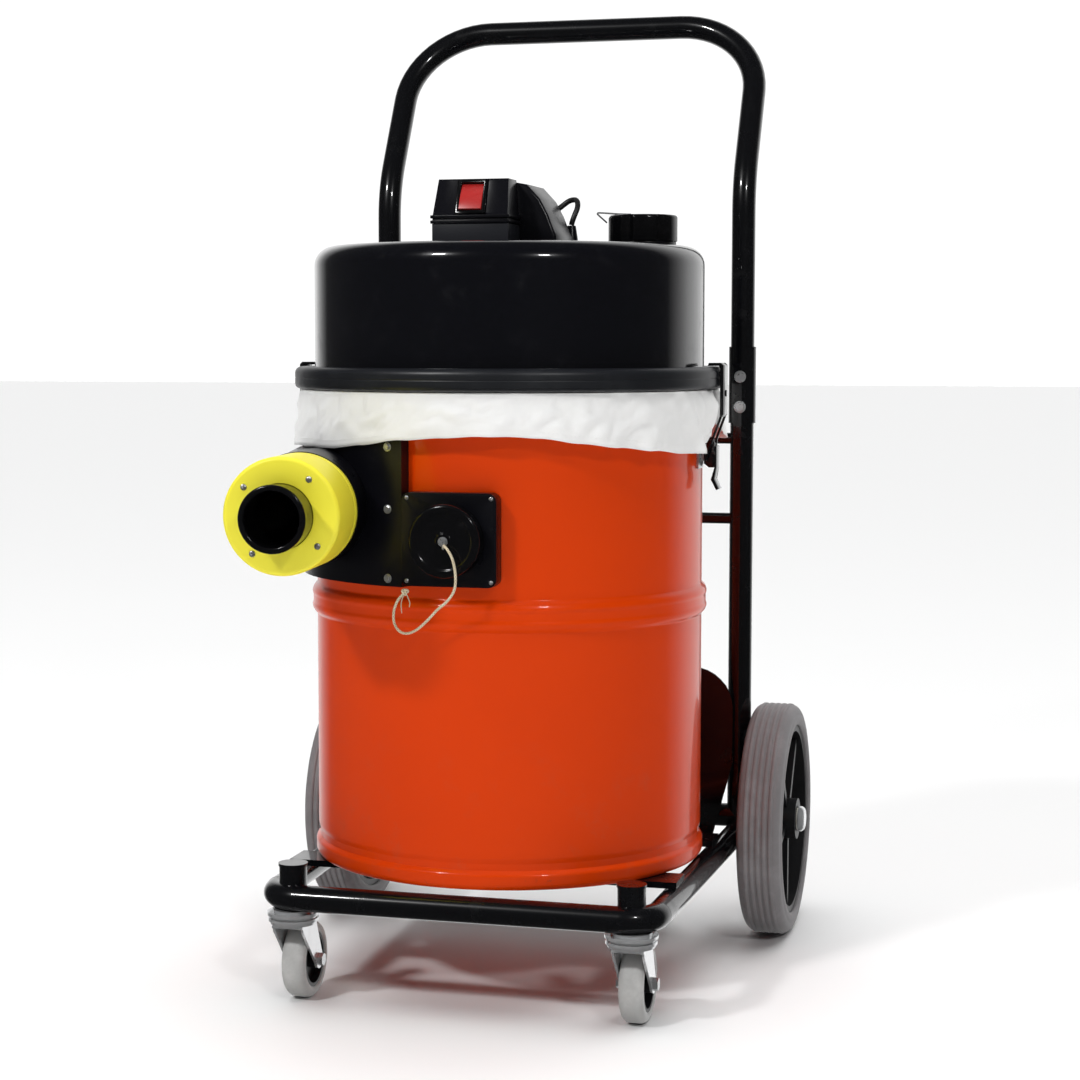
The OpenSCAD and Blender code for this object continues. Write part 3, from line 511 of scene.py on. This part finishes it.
def chrome_finish():
    f = Finish("chrome plate")
    haze = f.step(f.noise(45, 7, 0.7), 0.45, 0.85)
    return f.put(Base_Color=f.blend(haze * 0.4, (0.78, 0.79, 0.8, 1), (0.45, 0.44, 0.43, 1)),
                 Metallic=0.72, Roughness=0.14 + haze * 0.22)


zinc = zinc_finish("zinc plate", (0.6, 0.61, 0.62, 1))
dull_zinc = zinc_finish("dulled zinc plate", (0.3, 0.28, 0.22, 1))
chrome = chrome_finish()


def begin_tree(name, inputs, output):
    """A geometry tree with its inputs and its output: the tree, both ends, the inputs' keys."""
    tree = bpy.data.node_groups.new(name, "GeometryNodeTree")
    tree.is_modifier = True
    sockets = {}
    for label, kind in inputs:
        sockets[label] = tree.interface.new_socket(
            label, in_out="INPUT", socket_type="NodeSocket" + kind)
    tree.interface.new_socket(output, in_out="OUTPUT", socket_type="NodeSocketGeometry")
    enter = tree.nodes.new("NodeGroupInput")
    leave = tree.nodes.new("NodeGroupOutput")
    return tree, enter, leave, {label: socket.identifier for label, socket in sockets.items()}


def linked(tree, links):
    """Makes a tree's links, each given as a node, its output, a node and its input."""
    for one, output, two, into in links:
        tree.links.new(one.outputs[output], two.inputs[into])


def grown(name, mesh, tree, keys, values):
    """The piece that a tree makes of a mesh."""
    piece = bpy.data.objects.new(name, mesh)
    scene.collection.objects.link(piece)
    growth = piece.modifiers.new("growth", "NODES")
    growth.node_group = tree
    for label, value in values.items():
        growth[keys[label]] = value
    return settle(piece)


def fastener_setter():
    """A tree that sets one head at every place, along its axis, each turned its own way."""
    tree, enter, leave, keys = begin_tree("fastener_setter", (
        ("Places", "Geometry"), ("Head", "Object"), ("Size", "Float"), ("Seed", "Int"),
        ("Finish", "Material")), "Set")
    head_in = tree.nodes.new("GeometryNodeObjectInfo")
    axis = tree.nodes.new("GeometryNodeInputNamedAttribute")
    axis.data_type = "FLOAT_VECTOR"
    axis.inputs["Name"].default_value = "axis"
    aim = tree.nodes.new("FunctionNodeAlignRotationToVector")
    aim.axis = "Z"
    spread = tree.nodes.new("GeometryNodeInstanceOnPoints")
    chance = tree.nodes.new("FunctionNodeRandomValue")
    chance.data_type = "FLOAT"
    chance.inputs[3].default_value = math.tau
    turn = tree.nodes.new("ShaderNodeCombineXYZ")
    twist = tree.nodes.new("GeometryNodeRotateInstances")
    whole = tree.nodes.new("GeometryNodeRealizeInstances")
    dress = tree.nodes.new("GeometryNodeSetMaterial")
    linked(tree, (
        (enter, "Places", spread, "Points"), (enter, "Head", head_in, "Object"),
        (head_in, "Geometry", spread, "Instance"), (enter, "Size", spread, "Scale"),
        (axis, "Attribute", aim, "Vector"), (aim, "Rotation", spread, "Rotation"),
        (enter, "Seed", chance, "Seed"), (chance, 1, turn, "Z"),
        (spread, "Instances", twist, "Instances"), (turn, "Vector", twist, "Rotation"),
        (twist, "Instances", whole, "Geometry"), (whole, "Geometry", dress, "Geometry"),
        (enter, "Finish", dress, "Material"), (dress, "Geometry", leave, "Set")))
    return tree, keys


setter, setter_keys = fastener_setter()


def set_fasteners(name, places, head_piece, seed, material, size=1.0):
    """One mesh with the head piece at every (place in mm, axis)."""
    made = bpy.data.meshes.new(name)
    made.from_pydata([Vector(place) * mm for place, axis in places], [], [])
    axes = made.attributes.new("axis", "FLOAT_VECTOR", "POINT")
    axes.data.foreach_set("vector", [c for place, axis in places for c in axis])
    return grown(name, made, setter, setter_keys, {
        "Head": head_piece, "Size": size, "Seed": seed, "Finish": material})


def joined(name, *parts):
    """Several made parts as one."""
    made = bmesh.new()
    for part in parts:
        made.from_mesh(part.data)
        bpy.data.objects.remove(part)
    return finished(name, made)


hexagon = joined(
    "hexagon_head",
    turned("washer", [(0, 0, 0), (6.6, 0, 0.2), (6.6, 0.9, 0.3), (0, 0.9, 0)], 40),
    turned("hex", [(0, 0.9, 0), (4.9, 0.9, 0), (4.9, 3.6, 0), (4.3, 4.1, 0), (0, 4.1, 0)], 6, sharp=20))
slotted = turned("slotted_head", [
    (0, -0.5, 0), (4.2, -0.5, 0), (4.2, 0.9, 0.7), (2.4, 2.1, 0.8), (0, 2.3, 0)], 40)
slot_made = bmesh.new()
bmesh.ops.create_cube(slot_made, size=1)
slot_cutter = finished("slot_cutter", slot_made)
slot_cutter.data.transform(Matrix.Translation((0, 0, 2.2 * mm))
                           @ Matrix.Diagonal((12 * mm, 1 * mm, 2.4 * mm, 1)))
sawn = slotted.modifiers.new("slot", "BOOLEAN")
sawn.object = slot_cutter
settle(slotted)
bpy.data.objects.remove(slot_cutter)
sleeve_head = joined(
    "sleeve_bolt_head",
    turned("bolt_washer", [(0, 0, 0), (6.4, 0, 0.2), (6.4, 1, 0.3), (0, 1, 0)], 40),
    turned("bolt_hex", [(0, 1, 0), (5.6, 1, 0), (5.6, 3.4, 0), (5, 4, 0), (0, 4, 0)], 6, sharp=20))
domed = turned("rivet_head", [
    (0, -0.2, 0), (3.4, -0.2, 0), (3.4, 0.4, 0.3), (2, 1.5, 0.6), (0.9, 1.6, 0), (0.8, 1, 0),
    (0, 1, 0)], 32)

saddle_radius = 208.5
screw_places = []
for turn in (-18.1, -75):
    for height in (421.5, 487, 545.5):
        a = math.radians(turn)
        screw_places.append((
            (saddle_radius * math.sin(a), -saddle_radius * math.cos(a), height),
            (math.sin(a), -math.cos(a), 0)))
fit(set_fasteners("housing_screw_set", screw_places, hexagon, 3, zinc, 0.66),
    zinc, "chassis", "zinc_steel", "housing_screws")
collar_face = inlet_place.to_3x3() @ Vector((0, 0, -1))
collar_places = []
for turn in (52, 142, 232, 322):
    a = math.radians(turn)
    place = inlet_place @ Vector((43 * math.cos(a) * mm, -43 * math.sin(a) * mm, 0)) / mm
    collar_places.append((place, collar_face))
fit(set_fasteners("collar_screw_set", collar_places, slotted, 8, dull_zinc, 0.72),
    zinc, "chassis", "zinc_steel", "collar_screws")
sleeve_radius = 14.6
bolt_places = []
for x in (-upright_x, upright_x):
    for height in (573.5, 606):
        bolt_places += [((x, rear_y - sleeve_radius, height), (0, -1, 0)),
                        ((x, rear_y + sleeve_radius, height), (0, 1, 0))]
fit(set_fasteners("sleeve_bolt_set", bolt_places, sleeve_head, 5, zinc),
    zinc, "chassis", "zinc_steel", "sleeve_bolts")
rivet_places = [((x * 197.1, 0, z), (x, 0, 0)) for x in (-1, 1) for z in (524, 552.5)]
pin_places = [((-2 + x * 41, -208, 460 + z * 39), (0, -1, 0)) for x in (-1, 1) for z in (-1, 1)]
fit(joined("rivet_set", set_fasteners("latch_rivets", rivet_places, domed, 2, zinc),
           set_fasteners("port_rivets", pin_places, domed, 4, dull_zinc, 0.62)),
    zinc, "chassis", "zinc_steel", "rivets")
for spare in (hexagon, slotted, sleeve_head, domed):
    bpy.data.objects.remove(spare)


# ---- port and blanking cap ---------------------------------------------------
# A moulded plate riveted over a second port, closed by a round push-in cap whose middle
# screw holds the tether's ring terminal.
softened("port_plate", 1.6, "chassis", satin_black, "black_plastic", angle=50)
cap = turned("blanking_cap_moulding", [
    (0, 18.2, 0), (7, 18.2, 0.4), (8, 17.3, 0.6), (26, 17.3, 1), (27.5, 18.4, 0.8), (34.5, 18.4, 3.4),
    (34.5, 0.4, 0.6), (24.9, 0.4, 0.5), (24.9, -13.6, 1.2), (21.5, -13.6, 0.5), (21.5, -2, 0), (0, -2, 0)],
    128, port_place)
fit(cap, glossy_black, "blanking_cap", "black_plastic", "port_cap")
paint(zinc, "cap_screw", "axle", "latch_bases", "motor_plate", "left_castor_bolt",
      "right_castor_bolt")


# ---- latches -----------------------------------------------------------------
# Over-centre draw latches pressed from strip: a plated base riveted to the drum, and in
# black enamel a lever and a hooked strap that pulls the buffer ring down.
for side in ("left", "right"):
    softened(side + "_latch_lever", 0.35, side + "_lever", frame_enamel, "lever_paint", segments=2)
    softened(side + "_latch_hook", 0.3, side + "_hook", frame_enamel, "lever_paint", segments=2)


# ---- filter cloth ------------------------------------------------------------
# The filter's hem: a band of white needle-felt cloth clamped between the drum's rim and the
# head, which hangs out below the buffer ring, pulled in at the two latches.
def felt():
    f = Finish("filter cloth")
    chart = f.add("ShaderNodeTexCoord", {}, {}, "UV")
    u = f.add("ShaderNodeSeparateXYZ", {}, {0: chart}, "X")
    v = f.add("ShaderNodeSeparateXYZ", {}, {0: chart}, "Y")
    warp = f.add("ShaderNodeMath", {"operation": "SINE"}, {0: u * 5200})
    weft = f.add("ShaderNodeMath", {"operation": "SINE"}, {0: v * 5200})
    weave = warp * weft
    fluff = f.noise(700, 6, 0.7)
    soil = f.step(f.noise(16, 6, 0.65), 0.5, 0.8)
    f.put(Sheen_Weight=0.3, Sheen_Roughness=0.5)
    return f.put(Base_Color=f.blend(soil * 0.35, (0.9, 0.9, 0.89, 1), (0.72, 0.71, 0.68, 1)),
                 Roughness=0.92, Normal=f.bump(weave * 0.5 + fluff, 0.35, 0.0004))


cloth = felt()


def near(angle, middle, spread):
    """How near an angle is to the middle of a range, from 1 there to 0 outside it."""
    away = abs((angle - middle + math.pi) % math.tau - math.pi) / spread
    return 0.0 if away >= 1 else (1 + math.cos(math.pi * away)) / 2


# How high the hem's lower edge hangs at each angle in degrees, and where its top is held.
hem_heights = [
    (-200, 548), (-187, 552), (-180, 568), (-173, 552), (-160, 541), (-128, 543), (-116, 546),
    (-103, 552), (-92, 555.5), (-84, 557), (-77, 556), (-67, 554), (-57, 550), (-46, 546),
    (-36, 541), (-25, 537), (-17, 537), (-10, 546), (-6, 552), (0, 568), (6, 553), (16, 546),
    (60, 549), (110, 545), (160, 548)]
hem_top = 596.4
cloth_thickness = 0.9 * mm


def hem_height(angle):
    """The height of the hem's lower edge, from the heights it hangs at round the drum."""
    turn = (math.degrees(angle) + 200) % 360 - 200
    for (a, low), (b, high) in zip(hem_heights, hem_heights[1:]):
        if turn <= b:
            t = (turn - a) / (b - a)
            return low + (high - low) * t * t * (3 - 2 * t)
    return hem_heights[-1][1]


def ripple(x, y, z):
    """A smooth uneven height between about -1 and 1."""
    return noise.noise(Vector((x, y, z)))


def hem_place(angle, down):
    """Where the hem hangs: down is 0 under the ring and 1 at its lower edge."""
    east, north = math.cos(angle), math.sin(angle)
    latch = max(near(angle, 0, math.radians(6)), near(angle, math.pi, math.radians(6)))
    low = hem_height(angle) + 0.8 * math.sin(9 * angle)
    folds = ripple(east * 3.2, north * 3.2, down * 0.9) * 6
    slant = angle * 7 + down * 1.3
    folds += ripple(east * 7, north * 7, 4 + down * 1.2) * 4
    folds += (max(0, math.sin(slant + 2 * ripple(angle * 2, 0, 9))) ** 3 * 2.2
              * near(angle, -0.5, 1.1))
    pleat = sum(
        near(angle, math.radians(a + 7 * down * lean_to), math.radians(w)) * h
        for a, w, h, lean_to in (
            (-30, 5, 5, -1), (-21, 3.2, 6, 0.6), (-14, 2.6, 5, -0.5), (-58, 7, 3, 1),
            (-90, 9, 2.2, -1), (-118, 8, 2.5, 0.8), (14, 5, 5, 0), (168, 4, 5, 0),
            (-166, 4, 5, 0)))
    gather = ripple(east * 15, north * 15, 7 + down) * 2.2 * (1 - down) ** 1.5
    drag = ripple(angle * 9 + down * 2.6, down * 2.2 - angle * 2, 3)
    gather += abs(drag) * 6 * math.sin(math.pi * down)
    out = 210.4 + down * (2.8 + 3.4 * near(angle, math.radians(-158), math.radians(35)))
    out += (folds + pleat) * down ** 0.6 + gather * min(1, down * 8)
    curl = near(angle, math.radians(-22), math.radians(11)) * max(0, down - 0.75) * 4
    out += curl * 3
    bulges = (near(angle, math.radians(-8), math.radians(4))
              + near(angle, math.radians(8), math.radians(4)))
    out += 6.5 * math.sin(math.pi * min(1, down * 1.15)) * bulges
    out = max(out, 209.2) * (1 - latch) + (209.5 - 5 * down) * latch
    height = hem_top + (low - hem_top) * down
    return Vector((east * out, north * out, height)) * mm


made = bmesh.new()
layer = made.loops.layers.uv.new("UVMap")
around, rows = 720, 14
turns = [math.tau * i / around for i in range(around)]
grid = [[made.verts.new(hem_place(a, j / rows)) for j in range(rows + 1)] for a in turns]
tuck = [made.verts.new(Vector((math.cos(a) * 199, math.sin(a) * 199, hem_top)) * mm)
        for a in turns]
for i in range(around):
    here, there = [tuck[i], *grid[i]], [tuck[(i + 1) % around], *grid[(i + 1) % around]]
    for j in range(rows + 1):
        face = made.faces.new((here[j + 1], there[j + 1], there[j], here[j]))
        for loop, (a, b) in zip(face.loops, ((0, 1), (1, 1), (1, 0), (0, 0))):
            loop[layer].uv = ((i + a) / around * 1.33, (j + b) / rows * 0.05)
skirt = finished("filter_hem", made, 60)
thick = skirt.modifiers.new("cloth", "SOLIDIFY")
thick.thickness = cloth_thickness
thick.offset = -1
settle(skirt)
fit(skirt, cloth, "chassis", "filter_cloth", "filter_skirt")


# ---- hem stitching -----------------------------------------------------------
# A lock-stitched seam in white thread, seven millimetres above the hem's lower edge.
def stitcher():
    """A tree that lays one bead of thread at every pitch along a seam."""
    tree, enter, leave, keys = begin_tree("stitcher", (
        ("Seam", "Geometry"), ("Pitch", "Float"), ("Length", "Float"), ("Thread", "Float"),
        ("Finish", "Material")), "Stitches")
    curve = tree.nodes.new("GeometryNodeMeshToCurve")
    even = tree.nodes.new("GeometryNodeResampleCurve")
    even.mode = "LENGTH"
    tangent = tree.nodes.new("GeometryNodeInputTangent")
    aim = tree.nodes.new("FunctionNodeAlignRotationToVector")
    aim.axis = "Z"
    bead = tree.nodes.new("GeometryNodeMeshUVSphere")
    bead.inputs["Segments"].default_value = 6
    bead.inputs["Rings"].default_value = 5
    bead.inputs["Radius"].default_value = 1.0
    shape = tree.nodes.new("ShaderNodeCombineXYZ")
    spread = tree.nodes.new("GeometryNodeInstanceOnPoints")
    whole = tree.nodes.new("GeometryNodeRealizeInstances")
    smooth = tree.nodes.new("GeometryNodeSetShadeSmooth")
    dress = tree.nodes.new("GeometryNodeSetMaterial")
    linked(tree, (
        (enter, "Seam", curve, "Mesh"), (curve, "Curve", even, "Curve"),
        (enter, "Pitch", even, "Length"), (even, "Curve", spread, "Points"),
        (tangent, "Tangent", aim, "Vector"), (aim, "Rotation", spread, "Rotation"),
        (bead, "Mesh", spread, "Instance"), (enter, "Thread", shape, "X"),
        (enter, "Thread", shape, "Y"), (enter, "Length", shape, "Z"),
        (shape, "Vector", spread, "Scale"), (spread, "Instances", whole, "Geometry"),
        (whole, "Geometry", smooth, "Geometry"), (smooth, "Geometry", dress, "Geometry"),
        (enter, "Finish", dress, "Material"), (dress, "Geometry", leave, "Stitches")))
    return tree, keys


stitch_tree, stitch_keys = stitcher()
seam_down = 0.86
thread_stand_off = 0.15 * mm
seam_points = []
for a in turns:
    point = hem_place(a, seam_down)
    seam_points.append(point + Vector((point.x, point.y, 0)).normalized() * thread_stand_off)
seam_mesh = bpy.data.meshes.new("hem_stitches")
seam_mesh.from_pydata(seam_points, [(i, (i + 1) % around) for i in range(around)], [])
stitches = grown("hem_stitches", seam_mesh, stitch_tree, stitch_keys, {
    "Pitch": 0.0042, "Length": 0.0015, "Thread": 0.0003, "Finish": cotton})
fit(stitches, cloth, "chassis", "filter_cloth")


# ---- rear wheels -------------------------------------------------------------
# Solid grey rubber tyres with raised ribs, pressed on to black moulded five-spoke hubs
# that turn on the axle in nylon bushes, under domed push-on caps.
grey_tyre = moulded_rubber("grey tyre rubber", (0.21, 0.2, 0.205, 1), 0.55)
pale_tyre = moulded_rubber("pale castor rubber", (0.45, 0.45, 0.44, 1), 0.45)
hub_black = moulded_plastic("hub moulding", (0.011, 0.011, 0.012, 1), 0.38)
nylon = moulded_plastic("nylon", (0.7, 0.68, 0.6, 1), 0.4)


def ribber():
    """A tree that rings a tyre with a row of raised ribs."""
    tree, enter, leave, keys = begin_tree("tread_ribber", (
        ("Tyre", "Geometry"), ("Count", "Int"), ("Start", "Vector"), ("Spacing", "Vector"),
        ("Radius", "Float"), ("Width", "Float"), ("Height", "Float"),
        ("Finish", "Material")), "Ribs")
    row = tree.nodes.new("GeometryNodeMeshLine")
    ring = tree.nodes.new("GeometryNodeCurvePrimitiveCircle")
    ring.inputs["Resolution"].default_value = 160
    section = tree.nodes.new("GeometryNodeCurvePrimitiveCircle")
    section.inputs["Resolution"].default_value = 10
    section.inputs["Radius"].default_value = 1.0
    size = tree.nodes.new("ShaderNodeCombineXYZ")
    flat = tree.nodes.new("GeometryNodeTransform")
    sweep = tree.nodes.new("GeometryNodeCurveToMesh")
    spread = tree.nodes.new("GeometryNodeInstanceOnPoints")
    whole = tree.nodes.new("GeometryNodeRealizeInstances")
    smooth = tree.nodes.new("GeometryNodeSetShadeSmooth")
    dress = tree.nodes.new("GeometryNodeSetMaterial")
    linked(tree, (
        (enter, "Count", row, "Count"), (enter, "Start", row, "Start Location"),
        (enter, "Spacing", row, "Offset"), (enter, "Radius", ring, "Radius"),
        (enter, "Height", size, "X"), (enter, "Width", size, "Y"),
        (section, "Curve", flat, "Geometry"), (size, "Vector", flat, "Scale"),
        (ring, "Curve", sweep, "Curve"), (flat, "Geometry", sweep, "Profile Curve"),
        (row, "Mesh", spread, "Points"), (sweep, "Mesh", spread, "Instance"),
        (spread, "Instances", whole, "Geometry"), (whole, "Geometry", smooth, "Geometry"),
        (smooth, "Geometry", dress, "Geometry"), (enter, "Finish", dress, "Material"),
        (dress, "Geometry", leave, "Ribs")))
    return tree, keys


rib_tree, rib_keys = ribber()
across_axle = Matrix.Rotation(math.radians(90), 4, "Y")
for side, x in (("left", -240), ("right", 240)):
    wheel_place = Matrix.Translation(Vector((x, rear_y, 125)) * mm) @ across_axle
    tyre = turned(side + "_tyre_moulding", [
        (102, -22, 0), (104.5, -24, 1.5), (110, -24, 1), (113, -23, 1), (124, -22.5, 9),
        (124, 22.5, 9), (113, 23, 1), (110, 24, 1), (104.5, 24, 1.5), (102, 22, 0)],
        192, wheel_place, closed=True)
    fit(tyre, grey_tyre, side + "_wheel", "wheel_rubber", side + "_tyre")
    ribs_name = side + "_tread_ribs"
    ribs = grown(ribs_name, bpy.data.meshes.new(ribs_name), rib_tree, rib_keys, {
        "Count": 5, "Start": (0, 0, -0.0132), "Spacing": (0, 0, 0.0066),
        "Radius": 0.1239, "Width": 0.0024, "Height": 0.0011, "Finish": grey_tyre})
    ribs.data.transform(wheel_place)
    fit(ribs, grey_tyre, side + "_wheel", "wheel_rubber")
    paint(hub_black, side + "_hub")
    paint(nylon, side + "_bush")
paint(chrome, "axle_caps")


# ---- castors -----------------------------------------------------------------
# Plated swivel castors: two ball races pressed together, a folded fork, and a pale rubber
# tyre on a black moulded centre, on a bolt.
for side, x in (("left", -168), ("right", 168)):
    castor_place = Matrix.Translation(Vector((x, -153, 37.5)) * mm) @ across_axle
    tread = turned(side + "_castor_tyre_moulding", [
        (27, -11, 0), (28.5, -12, 1), (33, -12, 2), (37.5, -9, 4), (37.5, 9, 4), (33, 12, 2),
        (28.5, 12, 1), (27, 11, 0)],
        128, castor_place, closed=True)
    fit(tread, pale_tyre, side + "_castor_wheel", "castor_rubber", side + "_castor_tyre")
    paint(hub_black, side + "_castor_hub")
    paint(chrome, side + "_fork")
paint(chrome, "castor_stems")


# ---- switch box --------------------------------------------------------------
# A moulded box on the head's top with a wedge-shaped lid, two ribs at the joint, and a red
# rocker switch in a snap-in bezel on the sloped face. The motor and filter sit below it.
rocker_red = moulded_plastic("red rocker", (0.44, 0.024, 0.022, 1), 0.22, 0.02)
box_grey = moulded_plastic("dark grey moulding", (0.019, 0.02, 0.025, 1), 0.3)
softened("switch_box", 1.2, "chassis", box_grey, "black_plastic")
softened("switch_lid", 1.2, "chassis", satin_black, "black_plastic")
softened("switch_bezel", 0.8, "chassis", glossy_black, "black_plastic")
softened("rocker_switch", 0.7, "rocker", rocker_red, "switch_red")
softened("rear_cowl", 3, "chassis", satin_black, "black_plastic", angle=40)
softened("outlet_cap", 1.2, "socket_cap", glossy_black, "black_plastic", angle=30)
softened("outlet_socket", 0.6, "chassis", satin_black, "black_plastic")
softened("lead_gland", 0.5, "chassis", satin_black, "black_plastic")
wire = tube("cap_keeper_wire", smoothed([
    (124, 3, 769.4), (110, 2, 770), (93, 0.2, 771.2), (90.6, 0, 770.6), (91.6, 0.4, 768.8), (99.6, 3, 761.4)], 5),
    0.9 * mm, 8)
fit(wire, zinc, "socket_cap", "black_wire", "cap_wire")
lead_jacket = moulded_rubber("lead jacket", (0.012, 0.012, 0.012, 1), 0.42)
lead = tube("short_lead", smoothed([
    (40, 0.5, 769), (40, 8, 769), (40, 16, 771), (42, 24, 775), (47, 29, 780), (54, 30, 785), (61, 27, 786),
    (65, 21, 783), (66, 16, 777), (64, 13, 770), (62, 12, 764), (61, 12, 760)], 5), 2.75 * mm, 16)
fit(lead, lead_jacket, "chassis", "lead_jacket", "link_lead")


# ---- inside ------------------------------------------------------------------
# A cast aluminium motor on its plate, and the filter's dish of the same cloth as its hem.
def cast_alloy():
    f = Finish("cast alloy")
    grit = f.noise(700, 4, 0.7)
    return f.put(Base_Color=f.blend(f.noise(20, 5), (0.5, 0.5, 0.51, 1), (0.38, 0.38, 0.39, 1)),
                 Metallic=1.0, Roughness=0.45 + grit * 0.15, Normal=f.bump(grit, 0.3, 0.0004))


paint(cast_alloy(), "motor")
dish = turned("filter_dish", [
    (0, 442, 0), (75, 442, 1), (150, 442, 8), (162, 453, 5), (169, 497, 4), (177, 545, 4),
    (184, 590, 2), (184.5, 595.6, 0)], 160)
for vertex in dish.data.vertices:
    slack = math.sin(math.pi * min(1, max(0, (0.5956 - vertex.co.z) / 0.1536)) * 0.9)
    vertex.co += Vector((vertex.co.x, vertex.co.y, -0.05)).normalized() * (
        noise.noise(vertex.co * 22) - 0.3) * 3.5 * mm * slack
thick = dish.modifiers.new("cloth", "SOLIDIFY")
thick.thickness = cloth_thickness
settle(dish)
fit(dish, cloth, "chassis", "filter_cloth", "filter_bag")


# ---- floor and light ---------------------------------------------------------
# A plain pale studio floor, hidden from reflections. The surroundings are white to the
# camera, and to the machine rise from dim in front to bright behind. A key lamp and a fill
# make the highlights, and a wide soft sun lights the whole.
floor_made = bmesh.new()
bmesh.ops.create_grid(floor_made, x_segments=1, y_segments=1, size=30)
floor = finished("studio_floor", floor_made)
floor_finish = Finish("studio floor")
floor.data.materials.append(floor_finish.put(Base_Color=(0.94, 0.94, 0.94, 1), Roughness=0.8))
floor.visible_glossy = False

world = bpy.data.worlds.new("studio")
scene.world = world
world.use_nodes = True
sky = world.node_tree.nodes["Background"]
back = world.node_tree.nodes.new("ShaderNodeTexCoord")
split = world.node_tree.nodes.new("ShaderNodeSeparateXYZ")
wall = world.node_tree.nodes.new("ShaderNodeMapRange")
for name, value in (("From Min", 0.5), ("From Max", 0.8), ("To Min", 0.05), ("To Max", 1.08)):
    wall.inputs[name].default_value = value
world.node_tree.links.new(back.outputs["Generated"], split.inputs[0])
world.node_tree.links.new(split.outputs["Y"], wall.inputs["Value"])
path = world.node_tree.nodes.new("ShaderNodeLightPath")
bright = world.node_tree.nodes.new("ShaderNodeMath")
bright.operation = "MAXIMUM"
world.node_tree.links.new(wall.outputs["Result"], bright.inputs[0])
world.node_tree.links.new(path.outputs["Is Camera Ray"], bright.inputs[1])
world.node_tree.links.new(bright.outputs["Value"], sky.inputs["Strength"])
sky.inputs["Color"].default_value = (1, 1, 1, 1)
scene.view_settings.view_transform = "Standard"


def lamp(name, place, aim, size, power):
    light = bpy.data.lights.new(name, "AREA")
    light.shape = "RECTANGLE"
    light.size, light.size_y = size
    light.energy = power
    holder = bpy.data.objects.new(name, light)
    holder.location = place
    holder.rotation_euler = (Vector(aim) - Vector(place)).to_track_quat("-Z", "Y").to_euler()
    scene.collection.objects.link(holder)


lamp("key", (-1.7, -3.0, 3.0), (0, 0, 0.4), (0.45, 0.28), 62)
lamp("fill", (2.1, -2.9, 2.6), (0, 0, 0.4), (0.4, 0.25), 27)
sun = bpy.data.objects.new("skylight", bpy.data.lights.new("skylight", "SUN"))
sun.data.energy = 2.5
sun.data.angle = math.radians(60)
sun.visible_glossy = False
scene.collection.objects.link(sun)
